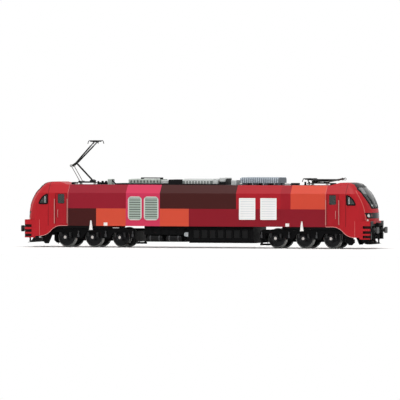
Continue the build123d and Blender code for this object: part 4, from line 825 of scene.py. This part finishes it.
# Roof gear: hoods and boxes moulded in greys and black, pegged to the roof deck. The ribbed hood has
# pale ribs, and the wall between and behind them is darkened with painted shade.
RIB_SETBACK, RIB_WALL_SETBACK = 0.15, 0.4
RIB_WALL_DROP = 1.15
ribbed_low, ribbed_high = span("ribbed_hood")
hood_green = moulded("hood_green", "9ba49c", "b4bcb5", (0.5, 0.66))
hood_pale = moulded("hood_pale", "b8bbba", "cdd0cf", (0.48, 0.62))
cooler_blue = moulded("cooler_blue", "6b747e", "808a94", (0.45, 0.6))
roof_black = moulded("roof_black", "101011", "1a1a1c", (0.45, 0.65), depth=0.04, gloss=0.1)
dress(hood_green, "contactor_box", "transformer_hood")
dress(hood_pale, "vent_box")
dress(cooler_blue, "cooler_hood")
dress(roof_black, "filter_box", "exhaust_box", "walkways", "roof_line", "roof_arresters")

wall_back, wall_front = ribbed_high[1] - RIB_WALL_SETBACK, ribbed_high[1] - RIB_SETBACK
wall_top = ribbed_high[2] - RIB_WALL_DROP
# Painted shade: the wall between the ribs is darker, as in a recess.
wall_shade_coats = (("6f7573", lambda x, y, z: abs(y).within(wall_back, wall_front) * z.below(wall_top)),)
dress(coated("ribbed_pale", "bcbfbd", "d0d3d1", (0.48, 0.62), wall_shade_coats, depth=0.03), "ribbed_hood")

# Cooler fittings: three wire fan guards over black dishes, soldered and let into the hood's top, and
# pale moulded fins that run up both sides and bend in over the top.
UPRIGHT = (0, 0, 1)
FAN_PITCH = 9.2
FAN_RADIUS = 3.7
FAN_WIRE, FAN_WIRE_LIFT = 0.09, 0.2
FAN_CIRCLES = (1.4, 2.1, 2.9)
SPOKE_TURNS = np.radians(np.arange(0, 360, 45))
SPOKE_START = 0.7
# Guard rim and dish: height over the hood, and radius.
FAN_RIM = ((-0.1, FAN_RADIUS + 0.35), (0.2, FAN_RADIUS + 0.3), (0.3, FAN_RADIUS + 0.1),
           (0.25, FAN_RADIUS), (0.0, FAN_RADIUS))
FAN_DISH = ((-0.1, FAN_RADIUS), (0.05, FAN_RADIUS), (0.06, 0.9), (0.2, 0.8))
FINS, FIN_PITCH, FIN_INSET = 18, 1.58, 0.94
FIN_RADIUS = 0.3
FIN_SUNK, FIN_LIFT = 0.15, 0.12
FIN_FOOT, FIN_SHOULDER, FIN_BEND = 46.0, 48.0, 48.3
FIN_TURN_IN, FIN_END = 8.3, 5.0
cooler_low, cooler_high = span("cooler_hood")
guards = []
dishes = []
for fan in (-1, 0, 1):
    centre = np.array((middle("cooler_hood")[0] + fan * FAN_PITCH, 0.0, cooler_high[2]))
    lifted = centre + (0, 0, FAN_WIRE_LIFT)
    guards.append(turned(centre, UPRIGHT, FAN_RIM, sides=40))
    dishes.append(turned(centre, UPRIGHT, FAN_DISH, sides=40))
    turn = np.linspace(0, 2 * np.pi, 41)
    circle = np.stack([np.cos(turn), np.sin(turn), 0 * turn], 1)
    guards += [tube_along(lifted + radius * circle, FAN_WIRE, sides=6) for radius in FAN_CIRCLES]
    for spoke_turn in SPOKE_TURNS:
        away = np.array((math.cos(spoke_turn), math.sin(spoke_turn), 0))
        spoke = [lifted + SPOKE_START * away, lifted + FAN_RADIUS * away]
        guards.append(tube_along(spoke, FAN_WIRE, sides=6))
add_piece("fan_guards", guards, cooler_blue, "body")
add_piece("fan_dishes", dishes, roof_black, "body")

fin_side, fin_top = cooler_high[1] - FIN_SUNK, cooler_high[2] + FIN_LIFT
fins = []
for fin_x in cooler_low[0] + FIN_INSET + FIN_PITCH * np.arange(FINS):
    for side in SIDES:
        wall_y = side * fin_side
        rise = [(fin_x, wall_y, FIN_FOOT), (fin_x, wall_y, FIN_SHOULDER)]
        bend = bent_path([(fin_x, wall_y, FIN_BEND), (fin_x, wall_y, fin_top),
                          (fin_x, side * FIN_TURN_IN, fin_top)], count=6)
        fins.append(tube_along([*rise, *bend, (fin_x, side * FIN_END, fin_top)], FIN_RADIUS, sides=6))
fin_pale = moulded("fin_pale", "aeb7bf", "c3cbd2", (0.45, 0.6))
add_piece("cooler_fins", fins, fin_pale, "body")

# Hood fittings: bars across the ribbed hood, lids and slots on the transformer hood, exhaust outlets
# and small boxes at the hoods' ends, all moulded plastic that is glued on.
BARS, BAR_PITCH, BAR_INSET = 19, 1.1, 1.16
BAR_REACH, BAR_RADIUS, BAR_SUNK = 9.0, 0.32, 0.05
LID_SPANS = ((-51.8, -46.8), (-43.8, -38.0), (-37.2, -33.0))
LID_INNER, LID_OUTER = 2.3, 7.5
LID_SUNK, LID_PROUD = 0.15, 0.25
SLOTS, SLOT_PITCH, SLOT_INSET = 9, 2.45, 1.39
SLOT_WIDTH, SLOT_LOW, SLOT_HIGH = 1.1, 45.9, 47.6
SLOT_DEPTH = 0.07
DECK_SUNK = 0.05
seat = roof - DECK_SUNK
hood_low, hood_high = span("transformer_hood")
# Opposite corners of the outlet on one side, and of the boxes that reach across the roof.
OUTLET = ((14.2, 4.2, 46.6), (18.8, 7.6, 49.6))
END_BOX = ((9.8, -9.2, seat), (13.7, 9.2, 48.2))
ANNEX = ((-29.2, -7.6, seat), (-23.4, 7.6, 47.7))
bar_z = ribbed_high[2] - BAR_SUNK
bars = [tube_along([(bar_x, side * BAR_REACH, bar_z) for side in SIDES], BAR_RADIUS, sides=8)
        for bar_x in ribbed_low[0] + BAR_INSET + BAR_PITCH * np.arange(BARS)]
add_piece("hood_bars", bars, hood_pale, "body")
lids = [block((start, side * LID_INNER, hood_high[2] - LID_SUNK),
              (stop, side * LID_OUTER, hood_high[2] + LID_PROUD))
        for start, stop in LID_SPANS for side in SIDES]
add_piece("hood_lids", lids, hood_green, "body")
slots = [block((slot_x, side * (hood_high[1] - SLOT_DEPTH), SLOT_LOW),
               (slot_x + SLOT_WIDTH, side * (hood_high[1] + SLOT_DEPTH), SLOT_HIGH), bevel=0.03)
         for slot_x in hood_low[0] + SLOT_INSET + SLOT_PITCH * np.arange(SLOTS) for side in SIDES]
slot_grey = moulded("slot_grey", "454b48", "59605c", (0.5, 0.65))
add_piece("hood_slots", slots, slot_grey, "body")
outlets = [block(*[(along, side * out, up) for along, out, up in OUTLET], bevel=0.4) for side in SIDES]
outlets.append(block(*END_BOX, bevel=0.3))
add_piece("exhaust_outlets", outlets, hood_pale, "body")
add_piece("hood_annex", [block(*ANNEX, bevel=0.3)], hood_pale, "body")

# Deck fittings: ribbed arresters, rests for the pantograph heads, horn boxes, a strut, a cable and a
# plinth under the transformer hood, black mouldings and wire that are pegged into the roof deck.
ARRESTER_X, ARRESTER_OFFSET = -73.96, 1.3
# Arrester and rest: height over the seat, and radius.
ARRESTER = ((-0.1, 0.8), (0.15, 0.8), (0.2, 1.05), (0.35, 1.05), (0.4, 0.65), (0.55, 0.65), (0.6, 0.95),
            (0.75, 0.95), (0.8, 0.5), (1.0, 0.5), (1.1, 0.25))
HEAD_REST = ((0, 1.0), (0.4, 1.0), (0.6, 0.7), (2.3, 0.7), (2.5, 0.5))
REST_X, REST_Y = 77.0, 4.4
HORN_X, HORN_HALF, HORN_REACH, HORN_TOP = 96.3, 1.6, 3.0, 46.1
HORN_SUNK = 0.1
PLINTH = ((-62.6, -9.6, seat), (-23.2, 9.6, 45.5))
STRUT_RADIUS, CABLE_RADIUS = 0.5, 0.35
STRUT_ROUTE = ((-67.8, -2.2, 47.9), (-64.6, -2.2, 44.6))
CABLE_ROUTE = ((64.6, 6.5, 44.6), (62.0, 6.5, 45.1), (30.0, 10.4, 45.1), (21.0, 10.4, 44.8))
arrester_seat = span("roof_arresters")[1][2]
arresters = [turned((ARRESTER_X + side * ARRESTER_OFFSET, 0, arrester_seat), UPRIGHT, ARRESTER, sides=20)
             for side in SIDES]
add_piece("arrester_ribs", arresters, roof_black, "body")
rests = [turned((end * REST_X, side * REST_Y, seat), UPRIGHT, HEAD_REST, sides=14)
         for end, side in CORNERS]
add_piece("head_rests", rests, roof_black, "body")
horns = [block((end * HORN_X - HORN_HALF, -HORN_REACH, roof - HORN_SUNK),
               (end * HORN_X + HORN_HALF, HORN_REACH, HORN_TOP), bevel=0.4) for end in SIDES]
add_piece("horn_boxes", horns, roof_black, "body")
line = [tube_along(STRUT_ROUTE, STRUT_RADIUS), tube_along(CABLE_ROUTE, CABLE_RADIUS, sides=8)]
add_piece("roof_cables", line, roof_black, "body")
add_piece("hood_plinth", [block(*PLINTH, bevel=0.2)], roof_black, "body")

# Pantographs: etched and soldered brass arms, blackened, on ribbed insulators. The thrust rods
# are left as bare wire. Sleeves stiffen the upper arms, and two springs lie in each base.
KNEE_BOSS = 0.75
HEAD_PIN = 1.5
KNEE_Y, HEAD_Y = 1.75, 3.6
TAIL_BACK, TAIL_UP = 3.65, 0.86
SLEEVE_START, SLEEVE_STOP, SLEEVE_RADIUS = 0.05, 0.8, 0.52
TAIL_SHARE, TAIL_RADIUS = 0.75, 0.55
BASE_SPRING_X, BASE_SPRING_LENGTH = 84.5, 5.5
BASE_SPRING_Y, BASE_SPRING_Z = 2.2, 46.15
BASE_SPRING_RADIUS, BASE_WIRE, BASE_TURNS = 0.46, 0.09, 20
arm_black = moulded("arm_black", "0e0e0e", "191918", (0.35, 0.5), depth=0.02, gloss=0.15)
bare_wire = moulded("bare_wire", "4f4c48", "66625d", (0.3, 0.4), depth=0.02, gloss=0.5, Metallic=0.6)
insulator_grey = moulded("insulator_grey", "bdbdb7", "d2d2cc", (0.2, 0.3), depth=0.02, gloss=0.5)
dress(insulator_grey, "insulators")
for end, outwards in ((1, -1), (2, 1)):
    dress(arm_black, f"pantograph_base_{end}", f"lower_arm_{end}", f"upper_arm_{end}")
    dress(arm_black, f"pantograph_head_{end}")
    dress(bare_wire, f"thrust_rod_{end}")
    # Side view: the knee is the lower arm's outer top corner, and the tail lies back past the knee.
    lower_arm = span(f"lower_arm_{end}")
    knee_x = max(outwards * corner[0] for corner in lower_arm) - KNEE_BOSS
    knee = np.array((outwards * knee_x, lower_arm[1][2] - KNEE_BOSS))
    head_low = span(f"pantograph_head_{end}")[0]
    head = np.array((middle(f"pantograph_head_{end}")[0], head_low[2] + HEAD_PIN))
    along = (head - knee) / np.linalg.norm(head - knee)
    tail = knee - TAIL_BACK * along + TAIL_UP * outwards * np.array((along[1], -along[0]))
    sleeves = []
    for side in SIDES:
        knee_pin, head_pin, tail_pin = [np.array((place[0], side * out, place[1])) for place, out in (
            (knee, KNEE_Y), (head, HEAD_Y), (tail, KNEE_Y))]
        sleeve = [knee_pin + share * (head_pin - knee_pin) for share in (SLEEVE_START, SLEEVE_STOP)]
        sleeves.append(tube_along(sleeve, SLEEVE_RADIUS))
        sleeves.append(tube_along([knee_pin, knee_pin + TAIL_SHARE * (tail_pin - knee_pin)], TAIL_RADIUS))
    add_piece(f"arm_sleeves_{end}", sleeves, arm_black, f"upper_arm_{end}")
# A coiled spring as a bar whose radius swings by the wire's with the sine of its turns.
share = np.linspace(0, 1, 3 * BASE_TURNS + 1)
coil_radius = BASE_SPRING_RADIUS + BASE_WIRE * np.sin(2 * np.pi * BASE_TURNS * share)
springs = []
for end, side in CORNERS:
    coil = np.stack([end * (BASE_SPRING_X + BASE_SPRING_LENGTH * share),
                     np.full(len(share), side * BASE_SPRING_Y), np.full(len(share), BASE_SPRING_Z)], 1)
    springs.append(tube_along(coil, coil_radius))
add_piece("base_springs", springs, arm_black, "body")

# Studio: a pale floor that fades into a white surround, a broad soft lamp over the camera side, one
# from the top and two fills. The camera stands far off with a long lens.
CAMERA_TURN = math.radians(18.3)
CAMERA_RISE = math.radians(0.8)
CAMERA_AWAY = 5.5
CAMERA_LENS, CAMERA_SENSOR = 700, 36
AIM = (-0.0025, 0.0, 0.0337)
FLOOR_REACH = 1.2
FADE_START, FADE_RATE, FADE_STRETCH = 0.08, 6.0, 0.5
SURROUND = 0.52


def soft_lamp(name, at, size, watts):
    """Square area lamp at a point, turned to face the object."""
    lamp = bpy.data.lights.new(name, "AREA")
    lamp.size = size
    lamp.energy = watts
    holder = bpy.data.objects.new(name, lamp)
    bpy.context.scene.collection.objects.link(holder)
    holder.location = at
    towards = (cad_low + cad_high) / 2 - holder.location
    holder.rotation_euler = towards.to_track_quat("-Z", "Y").to_euler()


def shown_rays(tree):
    """1 for rays from the camera, and for those that metal and glass send on, else 0."""
    rays = tree.nodes.new("ShaderNodeLightPath")
    seen = Shade(tree, rays.outputs["Is Camera Ray"])
    for ray in ("Is Glossy Ray", "Is Transmission Ray"):
        seen = seen | Shade(tree, rays.outputs[ray])
    return seen


soft_lamp("key_lamp", at=(0.45, -1.1, 1.0), size=0.9, watts=4.2)
soft_lamp("top_lamp", at=(0.0, -0.4, 1.3), size=0.6, watts=9.5)
soft_lamp("left_fill", at=(-1.1, -0.7, 0.6), size=0.8, watts=1.6)
soft_lamp("back_rim", at=(0.3, 1.0, 1.0), size=0.8, watts=3.0)

ground = FLOOR_REACH * np.array([(-1, -1, 0), (1, -1, 0), (1, 1, 0), (-1, 1, 0)], float)
floor_mesh = bpy.data.meshes.new("floor")
floor_mesh.from_pydata(ground.tolist(), [], [(0, 1, 2, 3)])
floor = bpy.data.objects.new("floor", floor_mesh)
bpy.context.scene.collection.objects.link(floor)
floor_paint, place = new_finish("floor_white", Roughness=0.9, Specular_IOR_Level=0.0)
wire(floor_paint, Base_Color=place.grain(0.002).paint(tone("f6f6f5"), tone("fafaf9")))
tree = floor_paint.node_tree
x, y, z = place.axes()
seen = shown_rays(tree)
away = (x * x * FADE_STRETCH ** 2 + y * y).root()
fade = ((away - FADE_START) * FADE_RATE).most(0.0).least(1.0)
glow = seen.node("ShaderNodeEmission", {}, {"Strength": SURROUND + (1 - SURROUND) * seen})
paint = Shade(tree, tree.nodes["Principled BSDF"].outputs[0])
both = seen.node("ShaderNodeMixShader", {}, {0: fade, 1: paint, 2: glow})
tree.links.new(both.socket, tree.nodes["Material Output"].inputs["Surface"])
floor_mesh.materials.append(floor_paint)

world = bpy.data.worlds.new("surround")
bpy.context.scene.world = world
world.use_nodes = True
tree = world.node_tree
brightness = SURROUND + (1 - SURROUND) * shown_rays(tree)
tree.nodes["Background"].inputs["Color"].default_value = (1, 1, 1, 1)
tree.links.new(brightness.socket, tree.nodes["Background"].inputs["Strength"])

optics = bpy.data.cameras.new("camera")
optics.lens = CAMERA_LENS
optics.sensor_width = CAMERA_SENSOR
optics.clip_end = 100
camera = bpy.data.objects.new("camera", optics)
bpy.context.scene.collection.objects.link(camera)
back = np.array([math.sin(CAMERA_TURN) * math.cos(CAMERA_RISE),
                 -math.cos(CAMERA_TURN) * math.cos(CAMERA_RISE), math.sin(CAMERA_RISE)])
camera.location = np.array(AIM) + CAMERA_AWAY * back
camera.rotation_euler = (math.pi / 2 - CAMERA_RISE, 0, CAMERA_TURN)
bpy.context.scene.camera = camera
bpy.context.scene.view_settings.view_transform = "Standard"
